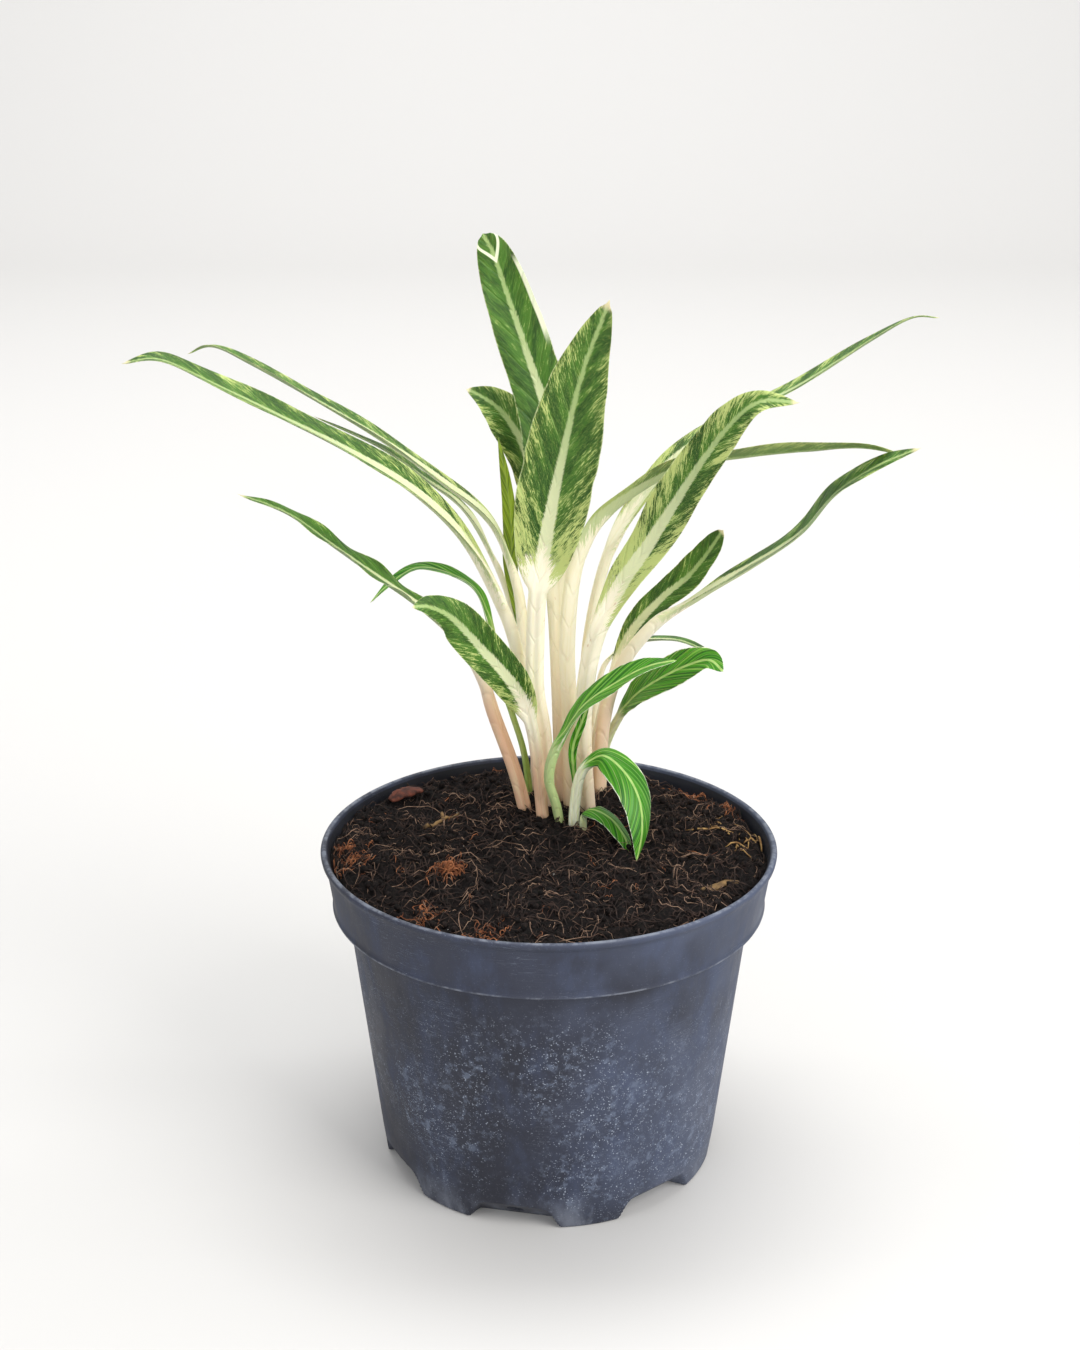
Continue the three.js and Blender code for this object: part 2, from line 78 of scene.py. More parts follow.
# ---- Leaves ----
# route: the midrib, from the buried foot to the tip. blade: the index of the route point where the
# blade begins. half: half the blade's width. widest: the share of the blade's length at which it is
# widest. taper: 1 for a straight-sided tip, less for a blunter one. stalk: the petiole's radius.
# fold: rise of the margins over the midrib, as a share of the distance from it. faces: where the
# upper side looks, at the petiole and at the tip.
LEAVES = {
    "leaf_left_long": dict(
        route=[(-.001, .033, .113), (-.004, .031, .155), (-.011, .026, .19), (-.017, .02, .212),
               (-.03, .012, .24), (-.048, .006, .26), (-.07, 0, .276), (-.093, -.007, .29),
               (-.114, -.012, .302), (-.131, -.016, .311), (-.144, -.017, .31)],
        blade=3, half=.011, widest=0.35, taper=0.7, stalk=.003, fold=0.25,
        faces=((0, -0.2, 1), (0, -0.1, 1)),
    ),
    "leaf_left_upper": dict(
        route=[(-.005, .046, .113), (-.005, .042, .159), (-.009, .04, .188), (-.012, .041, .214),
               (-.021, .044, .237), (-.041, .049, .253), (-.064, .054, .268), (-.089, .059, .282),
               (-.112, .063, .294), (-.126, .065, .3), (-.136, .066, .297)],
        blade=3, half=.008, widest=0.45, taper=1, stalk=.0023, fold=0.25,
        faces=((0, 0.15, 1), (0, 0.15, 1)),
    ),
    "leaf_left_inner": dict(
        route=[(-.001, .053, .113), (-.007, .052, .161), (-.012, .053, .192), (-.019, .054, .216),
               (-.031, .056, .238), (-.046, .058, .25), (-.063, .06, .262), (-.089, .063, .274)],
        blade=3, half=.006, widest=0.45, taper=1, stalk=.0016, fold=0.25,
        faces=((0, 0.1, 1), (0, 0.1, 1)),
    ),
    "leaf_left_low": dict(
        route=[(-.006, .024, .113), (-.012, .025, .141), (-.021, .026, .168), (-.025, .024, .183),
               (-.033, .021, .199), (-.046, .017, .213), (-.061, .011, .226), (-.077, .005, .24),
               (-.092, 0, .253), (-.109, -.006, .262)],
        blade=4, half=.0075, widest=0.45, taper=1, stalk=.0028, fold=0.25,
        faces=((0, -0.2, 1), (0, -0.15, 1)),
    ),
    "leaf_left_front": dict(
        route=[(-.001, .016, .113), (-.004, .016, .149), (-.007, .012, .17), (-.013, .004, .187),
               (-.024, -.005, .204), (-.034, -.012, .218), (-.042, -.017, .224), (-.048, -.02, .225)],
        blade=2, half=.0075, widest=0.4, taper=0.9, stalk=.0024, fold=0.25,
        faces=((-0.2, -0.7, 0.6), (-0.2, -0.7, 0.6)),
    ),
    "leaf_left_young": dict(
        route=[(-.006, .039, .113), (-.009, .04, .143), (-.014, .04, .162), (-.02, .04, .181),
               (-.022, .04, .198), (-.027, .04, .212), (-.037, .039, .219), (-.049, .037, .222),
               (-.059, .034, .217), (-.067, .031, .21)],
        blade=4, half=.0045, widest=0.4, taper=1, stalk=.0014, fold=0.25,
        faces=((0, -0.1, 1), (0, -0.1, 1)),
    ),
    "leaf_back_left": dict(
        route=[(.005, .044, .113), (.003, .046, .166), (.001, .05, .205), (-.003, .054, .236),
               (-.008, .057, .26), (-.015, .059, .273), (-.022, .06, .28), (-.031, .06, .285)],
        blade=2, half=.008, widest=0.55, taper=0.8, stalk=.0018, fold=0.25,
        faces=((-0.3, -0.7, 0.6), (-0.3, -0.5, 0.7)),
    ),
    "leaf_back_spear": dict(
        route=[(.003, .039, .113), (-.003, .046, .162), (-.01, .048, .191), (-.014, .049, .216),
               (-.014, .049, .234), (-.016, .05, .253), (-.019, .051, .269)],
        blade=2, half=.0032, widest=0.45, taper=1, stalk=.0016, fold=0.3,
        faces=((-0.6, -1, 0), (-0.6, -1, 0)),
    ),
    "leaf_back_tall": dict(
        route=[(.006, .034, .113), (.004, .037, .168), (.003, .04, .208), (.002, .044, .242),
               (-.001, .048, .277), (-.008, .051, .3), (-.015, .052, .321), (-.02, .051, .336),
               (-.024, .05, .344)],
        blade=2, half=.01, widest=0.4, taper=0.5, stalk=.0028, fold=0.25,
        faces=((0.1, -1, 0.3), (0, -1, 0.3)),
    ),
    "leaf_front_centre": dict(
        route=[(0, .026, .113), (-.002, .021, .158), (-.005, .018, .18), (-.005, .016, .201),
               (-.004, .012, .221), (0, .006, .249), (.005, 0, .276), (.011, -.007, .304),
               (.02, -.014, .331)],
        blade=4, half=.013, widest=0.42, taper=0.75, stalk=.0034, fold=0.2,
        faces=((-0.1, -1, 0.25), (-0.1, -1, 0.25)),
    ),
    "leaf_front_right": dict(
        route=[(.016, .025, .113), (.013, .024, .157), (.014, .02, .183), (.018, .016, .204),
               (.026, .012, .223), (.036, .008, .24), (.045, .003, .257), (.054, -.003, .274),
               (.063, -.008, .288), (.072, -.012, .296), (.085, -.014, .296)],
        blade=3, half=.009, widest=0.45, taper=1, stalk=.0035, fold=0.2,
        faces=((-0.5, -0.75, 0.3), (-0.4, -0.7, 0.5)),
    ),
    "leaf_right_mid": dict(
        route=[(.009, .027, .113), (.008, .03, .163), (.007, .03, .196), (.01, .028, .226),
               (.019, .026, .244), (.034, .023, .257), (.051, .02, .266), (.071, .017, .27),
               (.091, .013, .273), (.11, .009, .275), (.125, .006, .273)],
        blade=3, half=.0075, widest=0.45, taper=1, stalk=.003, fold=0.25,
        faces=((0, 0.35, 0.9), (0, 0.5, 0.8)),
    ),
    "leaf_right_back": dict(
        route=[(.015, .039, .113), (.014, .038, .16), (.015, .038, .193), (.022, .039, .226),
               (.034, .042, .247), (.049, .046, .263), (.07, .052, .276), (.094, .058, .287),
               (.12, .065, .302), (.136, .069, .31), (.147, .07, .31)],
        blade=3, half=.0075, widest=0.35, taper=1.1, stalk=.0023, fold=0.25,
        faces=((-0.4, -0.3, 0.8), (0, 0.3, 1)),
    ),
    "leaf_right_long": dict(
        route=[(.02, .043, .113), (.021, .043, .154), (.027, .04, .18), (.04, .034, .201),
               (.057, .028, .215), (.075, .022, .228), (.091, .015, .242), (.102, .009, .258),
               (.115, .004, .269), (.13, 0, .277)],
        blade=3, half=.0085, widest=0.55, taper=0.9, stalk=.0031, fold=0.25,
        faces=((-0.2, 0.1, 1), (-0.5, -0.2, 0.85)),
    ),
    "leaf_right_inner": dict(
        route=[(.014, .048, .113), (.019, .05, .15), (.025, .049, .175), (.032, .047, .193),
               (.043, .043, .208), (.053, .04, .218), (.06, .038, .228), (.065, .036, .237)],
        blade=2, half=.0065, widest=0.55, taper=0.6, stalk=.0019, fold=0.2,
        faces=((-0.4, -0.7, 0.6), (-0.4, -0.7, 0.6)),
    ),
    "leaf_right_behind": dict(
        route=[(.013, .058, .113), (.018, .059, .152), (.022, .06, .175), (.033, .06, .184),
               (.048, .059, .186), (.059, .057, .183), (.068, .054, .178)],
        blade=2, half=.005, widest=0.45, taper=1, stalk=.0013, fold=0.2,
        faces=((0, 0.15, 1), (0, 0.15, 1)),
    ),
    "leaf_right_young": dict(
        route=[(.021, .052, .113), (.022, .052, .141), (.028, .045, .16), (.033, .034, .172),
               (.041, .024, .182), (.051, .017, .19), (.059, .012, .194), (.064, .008, .191)],
        blade=2, half=.0068, widest=0.45, taper=0.8, stalk=.0018, fold=0.2,
        faces=((-0.3, -0.7, 0.6), (-0.1, -0.7, 0.7)),
    ),
    "leaf_front_young": dict(
        route=[(.006, .019, .113), (.003, .013, .134), (0, .009, .148), (.003, .007, .162),
               (.012, .003, .179), (.025, 0, .19), (.036, -.003, .197), (.046, -.005, .2)],
        blade=3, half=.006, widest=0.45, taper=1, stalk=.0023, fold=0.25,
        faces=((-0.5, -0.3, 0.8), (0, -0.3, 0.95)),
    ),
    "leaf_front_spear": dict(
        route=[(.01, .015, .113), (.01, .017, .139), (.009, .017, .156), (.012, .014, .168),
               (.015, .012, .177)],
        blade=1, half=.0018, widest=0.5, taper=1, stalk=.0008, fold=0.2,
        faces=((0, -1, 0), (0, -1, 0)),
    ),
    "leaf_front_droop": dict(
        route=[(.009, .009, .113), (.01, .01, .139), (.013, .009, .152), (.02, .005, .159),
               (.028, -.002, .155), (.033, -.008, .147), (.034, -.013, .137), (.032, -.017, .126)],
        blade=2, half=.007, widest=0.5, taper=0.9, stalk=.0021, fold=-0.3,
        faces=((-0.2, -0.5, 0.9), (0.9, -0.6, 0.3)),
    ),
    "leaf_front_low": dict(
        route=[(.014, .006, .113), (.013, .006, .133), (.016, .003, .138), (.023, -.001, .136),
               (.028, -.007, .131), (.03, -.012, .125)],
        blade=1, half=.0045, widest=0.45, taper=1, stalk=.0014, fold=-0.3,
        faces=((0, -0.2, 1), (0.5, -0.3, 0.8)),
    ),
}

# How each leaf looks. fleck: amount of cream flecks. tan: how pink-brown the petiole's foot is.
# forked: 1 where the midrib forks into a pale V at the tip and one margin is turned over, pale.
# yellow: how yellow a young leaf's green is. green: how green the petiole is.
# cream: how much wider the midrib is low on the blade.
# ripple: height of the waves along the margins, and their number.
LOOKS = {
    "leaf_left_long": dict(fleck=0.75, cream=0.8, ripple=(0.0004, 3.5)),
    "leaf_left_upper": dict(fleck=0.75, cream=0.8, ripple=(0.0004, 4.0)),
    "leaf_left_inner": dict(fleck=0.7, cream=0.8, ripple=(0.0004, 4.0)),
    "leaf_left_low": dict(fleck=0.3, tan=0.9, ripple=(0.0012, 4.0)),
    "leaf_left_front": dict(fleck=0.6, tan=0.9, ripple=(0.0005, 3.0)),
    "leaf_left_young": dict(green=0.9, ripple=(0.0004, 3.0)),
    "leaf_back_left": dict(fleck=0.85, cream=0.2, ripple=(0.0006, 3.0)),
    "leaf_back_spear": dict(green=0.9, yellow=0.8, ripple=(0.0002, 2.0)),
    "leaf_back_tall": dict(fleck=0.15, tan=0.25, forked=1.0, ripple=(0.0018, 2.5)),
    "leaf_front_centre": dict(fleck=0.8, cream=0.15, ripple=(0.0009, 4.0)),
    "leaf_front_right": dict(fleck=1.1, cream=0.3, ripple=(0.0008, 3.0)),
    "leaf_right_mid": dict(fleck=1.0, cream=0.9, ripple=(0.0007, 3.5)),
    "leaf_right_back": dict(fleck=0.8, cream=0.6, ripple=(0.0004, 3.0)),
    "leaf_right_long": dict(fleck=0.6, cream=0.6, tan=0.5, ripple=(0.0006, 3.0)),
    "leaf_right_inner": dict(fleck=0.45, ripple=(0.0007, 2.5)),
    "leaf_right_behind": dict(fleck=0.1, ripple=(0.0004, 2.0)),
    "leaf_right_young": dict(green=0.3, ripple=(0.0006, 2.0)),
    "leaf_front_young": dict(green=0.7, ripple=(0.0005, 2.0)),
    "leaf_front_spear": dict(green=0.9, ripple=(0.0001, 1.0)),
    "leaf_front_droop": dict(green=0.15, ripple=(0.0005, 2.0)),
    "leaf_front_low": dict(green=0.5, ripple=(0.0004, 2.0)),
}
YOUNG = {
    "leaf_left_young", "leaf_back_spear", "leaf_right_young", "leaf_front_young",
    "leaf_front_spear", "leaf_front_droop", "leaf_front_low",
}


# ---- Small tools ----

def srgb(red, green, blue):
    """A colour given as 0 to 255 screen values, in the linear values that shaders take."""
    share = np.array([red, green, blue]) / 255
    linear = np.where(share <= 0.04045, share / 12.92, ((share + 0.055) / 1.055) ** 2.4)
    return (*linear.tolist(), 1.0)


def eased(low, high, value):
    """0 below low, 1 above high, and a smooth S between."""
    share = np.clip((value - low) / (high - low), 0, 1)
    return share * share * (3 - 2 * share)


def scattered(i, j, seed):
    """A repeatable number in -1..1 for each whole-number cell (i, j), by mixing their bits."""
    mixed = (i * 73856093) ^ (j * 19349663) ^ (seed * 83492791)
    mixed = (mixed ^ (mixed >> 13)) * 1274126177 & 0x7FFFFFFF
    mixed = (mixed ^ (mixed >> 16)) & 0xFFFF
    return mixed / 32767.5 - 1


def noise(x, y, seed):
    """Smooth noise in -1..1: each cell's corner numbers, blended by an eased share of the way across."""
    i, j = np.floor(x).astype(np.int64), np.floor(y).astype(np.int64)
    u, v = eased(0, 1, x - i), eased(0, 1, y - j)
    low = scattered(i, j, seed) * (1 - u) + scattered(i + 1, j, seed) * u
    high = scattered(i, j + 1, seed) * (1 - u) + scattered(i + 1, j + 1, seed) * u
    return low * (1 - v) + high * v


def rough(x, y, pitch, octaves, seed):
    """Layers of noise, each half the pitch and half the height of the one before."""
    return sum(noise(x / pitch * 2**k, y / pitch * 2**k, seed + k) / 2**k for k in range(octaves))


def piece(name, points, faces, material, node=None, attributes=None):
    """A mesh object at the origin that rides with the plant, and may stand for a CAD node."""
    mesh = bpy.data.meshes.new(name)
    mesh.from_pydata(np.reshape(points, (-1, 3)).tolist(), [], list(faces))
    for key, values in (attributes or {}).items():
        layer = mesh.attributes.new(key, "FLOAT_VECTOR", "POINT")
        layer.data.foreach_set("vector", np.asarray(values, dtype=np.float32).ravel())
    mesh.polygons.foreach_set("use_smooth", [True] * len(mesh.polygons))
    mesh.materials.append(material)
    thing = bpy.data.objects.new(name, mesh)
    bpy.context.scene.collection.objects.link(thing)
    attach(thing, BODY)
    if node:
        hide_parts(node)
    return thing


def ring_faces(rows, columns):
    """Four-sided faces between rows of points, each row a closed ring of columns points."""
    row, column = np.meshgrid(np.arange(rows - 1), np.arange(columns), indexing="ij")
    after = (column + 1) % columns
    corners = [row * columns + column, row * columns + after,
               (row + 1) * columns + after, (row + 1) * columns + column]
    return np.stack(corners, -1).reshape(-1, 4)


def closed_rings(rows, columns):
    """The faces between rows of points, and one face that fills each end."""
    faces = ring_faces(rows, columns).tolist()
    faces.append(list(range(columns))[::-1])
    faces.append(list(range((rows - 1) * columns, rows * columns)))
    return faces


def tubes(paths, radii, sides):
    """Round tubes along paths. paths is (tubes, steps, 3) and radii (tubes, steps).

    Each ring lies square to its path, and the two ends are closed with a flat cap.
    """
    count, steps, _ = paths.shape
    along = np.gradient(paths, axis=1)
    along /= np.linalg.norm(along, axis=2, keepdims=True) + 1e-12
    lead = np.where(np.abs(along[..., 2:]) > 0.9, [[[1.0, 0, 0]]], [[[0, 0, 1.0]]])
    side = np.cross(along, lead)
    side /= np.linalg.norm(side, axis=2, keepdims=True)
    top = np.cross(side, along)
    angle = np.arange(sides) * 2 * math.pi / sides
    ring = (np.cos(angle)[:, None] * side[:, :, None] + np.sin(angle)[:, None] * top[:, :, None])
    points = paths[:, :, None] + ring * radii[:, :, None, None]
    one = ring_faces(steps, sides)[:, ::-1]
    walls = (one[None] + (np.arange(count) * steps * sides)[:, None, None]).reshape(-1, 4).tolist()
    first = (np.arange(count) * steps * sides)[:, None] + np.arange(sides)
    last = first + (steps - 1) * sides
    return points.reshape(-1, 3), walls + first.tolist() + last[:, ::-1].tolist()


# ---- Shader building ----

class Shader:
    """A node material built by calls: each method adds one node and gives back its output."""

    def __init__(self, name, **settings):
        self.material = bpy.data.materials.new(name)
        self.material.use_nodes = True
        self.tree = self.material.node_tree
        self.surface = self.tree.nodes["Principled BSDF"]
        for socket, value in settings.items():
            self.surface.inputs[socket.replace("_", " ")].default_value = value

    def put(self, socket, value):
        """Feeds a value or another node's output into a socket."""
        if isinstance(value, bpy.types.NodeSocket):
            self.tree.links.new(value, socket)
        else:
            socket.default_value = value

    def math(self, operation, a, b=0.0, c=0.0):
        node = self.tree.nodes.new("ShaderNodeMath")
        node.operation = operation
        for socket, value in zip(node.inputs, (a, b, c)):
            self.put(socket, value)
        return node.outputs[0]

    def size(self, value):
        return self.math("ABSOLUTE", value)

    def times(self, a, b):
        return self.math("MULTIPLY", a, b)

    def line(self, value, factor, offset):
        """value * factor + offset."""
        return self.math("MULTIPLY_ADD", value, factor, offset)

    def centred(self, value):
        """Noise in 0..1 moved to -0.5..0.5."""
        return self.math("SUBTRACT", value, 0.5)

    def span(self, value, low, high, to_low=0.0, to_high=1.0, smooth=True):
        """value from low..high mapped to to_low..to_high, held at both ends."""
        node = self.tree.nodes.new("ShaderNodeMapRange")
        node.interpolation_type = "SMOOTHSTEP" if smooth else "LINEAR"
        for key, item in zip(("Value", "From Min", "From Max", "To Min", "To Max"),
                             (value, low, high, to_low, to_high)):
            self.put(node.inputs[key], item)
        return node.outputs[0]

    def mix(self, share, a, b):
        """Colour a where share is 0 and b where it is 1."""
        node = self.tree.nodes.new("ShaderNodeMix")
        node.data_type = "RGBA"
        factor, _, _, _, _, _, first, second, *_ = node.inputs
        for socket, value in ((factor, share), (first, a), (second, b)):
            self.put(socket, value)
        return node.outputs[2]

    def attribute(self, name):
        """The three numbers of a point attribute."""
        node = self.tree.nodes.new("ShaderNodeAttribute")
        node.attribute_name = name
        split = self.tree.nodes.new("ShaderNodeSeparateXYZ")
        self.tree.links.new(node.outputs["Vector"], split.inputs[0])
        return split.outputs

    def place(self):
        """The point's place on the object, and its three numbers."""
        node = self.tree.nodes.new("ShaderNodeTexCoord")
        split = self.tree.nodes.new("ShaderNodeSeparateXYZ")
        self.tree.links.new(node.outputs["Object"], split.inputs[0])
        return node.outputs["Object"], split.outputs

    def vector(self, x, y, z=0.0):
        node = self.tree.nodes.new("ShaderNodeCombineXYZ")
        for socket, value in zip(node.inputs, (x, y, z)):
            self.put(socket, value)
        return node.outputs[0]

    def noise(self, where, scale, detail=3.0, roughness=0.55, distortion=0.0):
        node = self.tree.nodes.new("ShaderNodeTexNoise")
        self.put(node.inputs["Vector"], where)
        for key, item in zip(("Scale", "Detail", "Roughness", "Distortion"),
                             (scale, detail, roughness, distortion)):
            self.put(node.inputs[key], item)
        return node.outputs[0]

    def cells(self, where, scale):
        """Distance to the nearest of a scatter of points."""
        node = self.tree.nodes.new("ShaderNodeTexVoronoi")
        self.put(node.inputs["Vector"], where)
        self.put(node.inputs["Scale"], scale)
        return node.outputs["Distance"]

    def stretched(self, where, scale, turn=(0, 0, 0)):
        node = self.tree.nodes.new("ShaderNodeMapping")
        self.put(node.inputs["Vector"], where)
        node.inputs["Scale"].default_value = scale
        node.inputs["Rotation"].default_value = turn
        return node.outputs[0]

    def bump(self, height, depth, strength=1.0):
        node = self.tree.nodes.new("ShaderNodeBump")
        node.inputs["Strength"].default_value = strength
        node.inputs["Distance"].default_value = depth
        self.put(node.inputs["Height"], height)
        self.tree.links.new(node.outputs[0], self.surface.inputs["Normal"])

    def finish(self, colour, roughness=None):
        """Sets the colour, and the roughness if it varies, and gives back the material."""
        self.put(self.surface.inputs["Base Color"], colour)
        if roughness is not None:
            self.put(self.surface.inputs["Roughness"], roughness)
        return self.material


# ---- Finishes ----

def leaf_finish():
    """Dark green blade with a pale midrib and fine cream flecks that lie along its side veins.

    Reads four attributes: place (across -1..1, along -1..0 on the petiole and 0..1 on the blade,
    under 0 or 1), metres (reach from the midrib, length from the foot, fleck amount), look (tan,
    green, seed) and tint (cream, forked, yellow).
    """
    s = Shader("variegated leaf", Roughness=0.5, Specular_IOR_Level=0.3, Subsurface_Weight=0.05,
               Subsurface_Scale=0.002)
    across, along, under = s.attribute("place")
    reach, length, fleck = s.attribute("metres")
    tan, green, seed = s.attribute("look")
    cream, forked, _ = s.attribute("tint")
    side = s.size(across)
    off = s.size(reach)
    vein = s.line(off, -1.9, length)
    lane = s.line(s.math("SIGN", reach), 7.0, seed)
    grain = s.vector(s.times(vein, 1700), s.times(off, 620), lane)
    fine = s.noise(grain, 1.0, 4.0, 0.7)
    speck = s.noise(grain, 2.6, 3.0, 0.7)
    wash = s.vector(s.times(vein, 150), s.times(off, 110), lane)
    blotch = s.noise(wash, 1.0, 3.0, 0.6)
    # green ground, a little mottled
    ground = s.mix(s.span(blotch, 0.36, 0.64), srgb(34, 72, 14), srgb(66, 112, 30))
    ground = s.mix(s.span(fine, 0.46, 0.66, 0, 0.55), ground, srgb(104, 146, 62))
    # flecks grow towards the margins and towards the foot of the blade
    toward = s.math("ADD", s.span(side, 0.2, 0.95, 0, 0.45), s.span(along, 0.5, 0.02, 0, 0.65))
    wealth = s.times(fleck, s.math("ADD", toward, 0.3))
    bar = s.line(wealth, -0.2, 0.645)
    lift = s.math("ADD", s.times(fine, 0.6), s.times(blotch, 0.4))
    flecked = s.span(s.math("SUBTRACT", lift, bar), -0.008, 0.02)
    colour = s.mix(s.times(flecked, 0.85), ground, srgb(196, 208, 128))
    dots = s.times(s.span(speck, 0.58, 0.66), s.times(fleck, 0.85))
    colour = s.mix(dots, colour, srgb(160, 184, 96))
    # a few long side veins, thin and paler
    comb = s.math("PINGPONG", s.line(blotch, 0.006, vein), 0.0065)
    lines = s.times(s.span(comb, 0.0004, 0.0, 0, 0.75), s.span(blotch, 0.42, 0.58))
    lines = s.times(lines, s.line(fleck, 0.6, 0.25))
    colour = s.mix(lines, colour, srgb(168, 196, 112))
    # margin line
    ragged = s.line(s.centred(fine), 0.22, side)
    colour = s.mix(s.span(ragged, 0.965, 1.0, 0, 0.85), colour, srgb(206, 218, 160))
    # midrib, wide at the foot, with ragged edges
    spread = s.times(s.span(along, 0.75, 0.0), s.line(cream, 0.0034, 0.0009))
    wide = s.math("ADD", s.span(along, 0.0, 1.0, 0.0013, 0.0005, smooth=False), spread)
    soft = s.line(s.centred(fine), 0.0032, s.math("SUBTRACT", off, wide))
    rib_colour = s.mix(s.span(along, 0.75, 0.2), srgb(160, 184, 116), srgb(222, 226, 182))
    colour = s.mix(s.span(soft, 0.0003, -0.0002, 0, 0.9), colour, rib_colour)
    # the pale V at a forked tip, and the pale turned margin below it
    arms = s.size(s.math("SUBTRACT", s.line(side, 0.14, 0.81), along))
    turned = s.times(s.span(s.times(across, -1.0), 0.78, 0.84),
                     s.times(s.span(along, 0.5, 0.56), s.span(along, 0.82, 0.76)))
    fork = s.math("MAXIMUM", s.span(arms, 0.017, 0.011), turned)
    colour = s.mix(s.times(fork, forked), colour, srgb(232, 236, 206))
    # cream tip
    tip = s.span(s.line(fine, 0.05, s.line(forked, -1.0, along)), 0.985, 1.01)
    colour = s.mix(s.times(tip, 0.85), colour, srgb(226, 214, 172))
    # underside, paler and greyer
    colour = s.mix(s.times(under, 0.42), colour, srgb(146, 170, 104))
    # ivory petiole that runs up into the blade
    paler = s.span(s.line(blotch, 0.3, along), -0.85, -0.2)
    stem = s.mix(paler, srgb(238, 214, 184), srgb(246, 239, 213))
    stem = s.mix(s.times(tan, s.span(along, 0.0, -0.6)), stem, srgb(220, 176, 142))
    streak = s.noise(s.vector(s.times(reach, 1100), s.times(length, 45), seed), 1.0)
    stem = s.mix(s.span(streak, 0.48, 0.72, 0, 0.45), stem, srgb(236, 226, 182))
    rust = s.noise(s.vector(s.times(reach, 700), s.times(length, 260), seed), 1.0)
    stem = s.mix(s.span(rust, 0.68, 0.76, 0, 0.45), stem, srgb(196, 146, 100))
    stem = s.mix(green, stem, srgb(150, 180, 76))
    soil_mark = s.times(s.span(length, 0.019, 0.014), s.span(streak, 0.35, 0.6))
    stem = s.mix(soil_mark, stem, srgb(120, 84, 60))
    # the green starts ragged, and runs lower down along the margins
    rise = s.line(side, 0.11, s.line(s.centred(lift), 0.55, along))
    colour = s.mix(s.span(rise, 0.13, 0.165), stem, colour)
    ridge = s.times(s.span(comb, 0.0016, 0.0), -0.7)
    s.bump(s.line(fine, 0.35, ridge), 0.0005, 0.6)
    return s.finish(colour, s.span(fine, 0.3, 0.7, 0.42, 0.6))


def young_leaf_finish():
    """Bright green blade with thin pale stripes along the side veins and a cream margin.

    Reads the same attributes as the older leaves' finish.
    """
    s = Shader("young leaf", Roughness=0.42, Specular_IOR_Level=0.35, Subsurface_Weight=0.06,
               Subsurface_Scale=0.002)
    across, along, under = s.attribute("place")
    reach, length, _ = s.attribute("metres")
    _, green, seed = s.attribute("look")
    _, _, yellow = s.attribute("tint")
    side = s.size(across)
    off = s.size(reach)
    vein = s.line(off, -3.4, length)
    lane = s.line(s.math("SIGN", reach), 7.0, seed)
    grain = s.vector(s.times(vein, 420), s.times(off, 60), lane)
    fine = s.noise(grain, 1.0, 3.0, 0.55)
    colour = s.mix(s.span(fine, 0.36, 0.56), srgb(26, 90, 10), srgb(70, 146, 24))
    colour = s.mix(s.span(fine, 0.56, 0.68, 0, 0.7), colour, srgb(138, 188, 74))
    comb = s.math("PINGPONG", s.line(fine, 0.006, vein), 0.0032)
    lines = s.times(s.span(comb, 0.0006, 0.0, 0, 0.65), s.span(side, 0.1, 0.5, 0.35, 1))
    colour = s.mix(lines, colour, srgb(160, 204, 104))
    colour = s.mix(s.span(off, 0.0006, 0.0003, 0, 0.75), colour, srgb(186, 216, 128))
    ragged = s.line(s.centred(fine), 0.16, side)
    colour = s.mix(s.span(ragged, 0.955, 0.985, 0, 0.9), colour, srgb(240, 242, 218))
    colour = s.mix(s.times(under, 0.5), colour, srgb(150, 190, 110))
    colour = s.mix(yellow, colour, s.mix(s.span(fine, 0.4, 0.6), srgb(98, 118, 16), srgb(152, 170, 40)))
    stem = s.mix(green, srgb(246, 243, 222), srgb(140, 182, 62))
    streak = s.noise(s.vector(s.times(reach, 1400), s.times(length, 40), seed), 1.0)
    stem = s.mix(s.span(streak, 0.45, 0.7, 0, 0.6), stem, srgb(222, 228, 160))
    colour = s.mix(s.span(s.line(fine, 0.2, along), 0.08, 0.18), stem, colour)
    s.bump(s.times(s.span(comb, 0.0012, 0.0), -1.0), 0.0004, 0.6)
    return s.finish(colour)


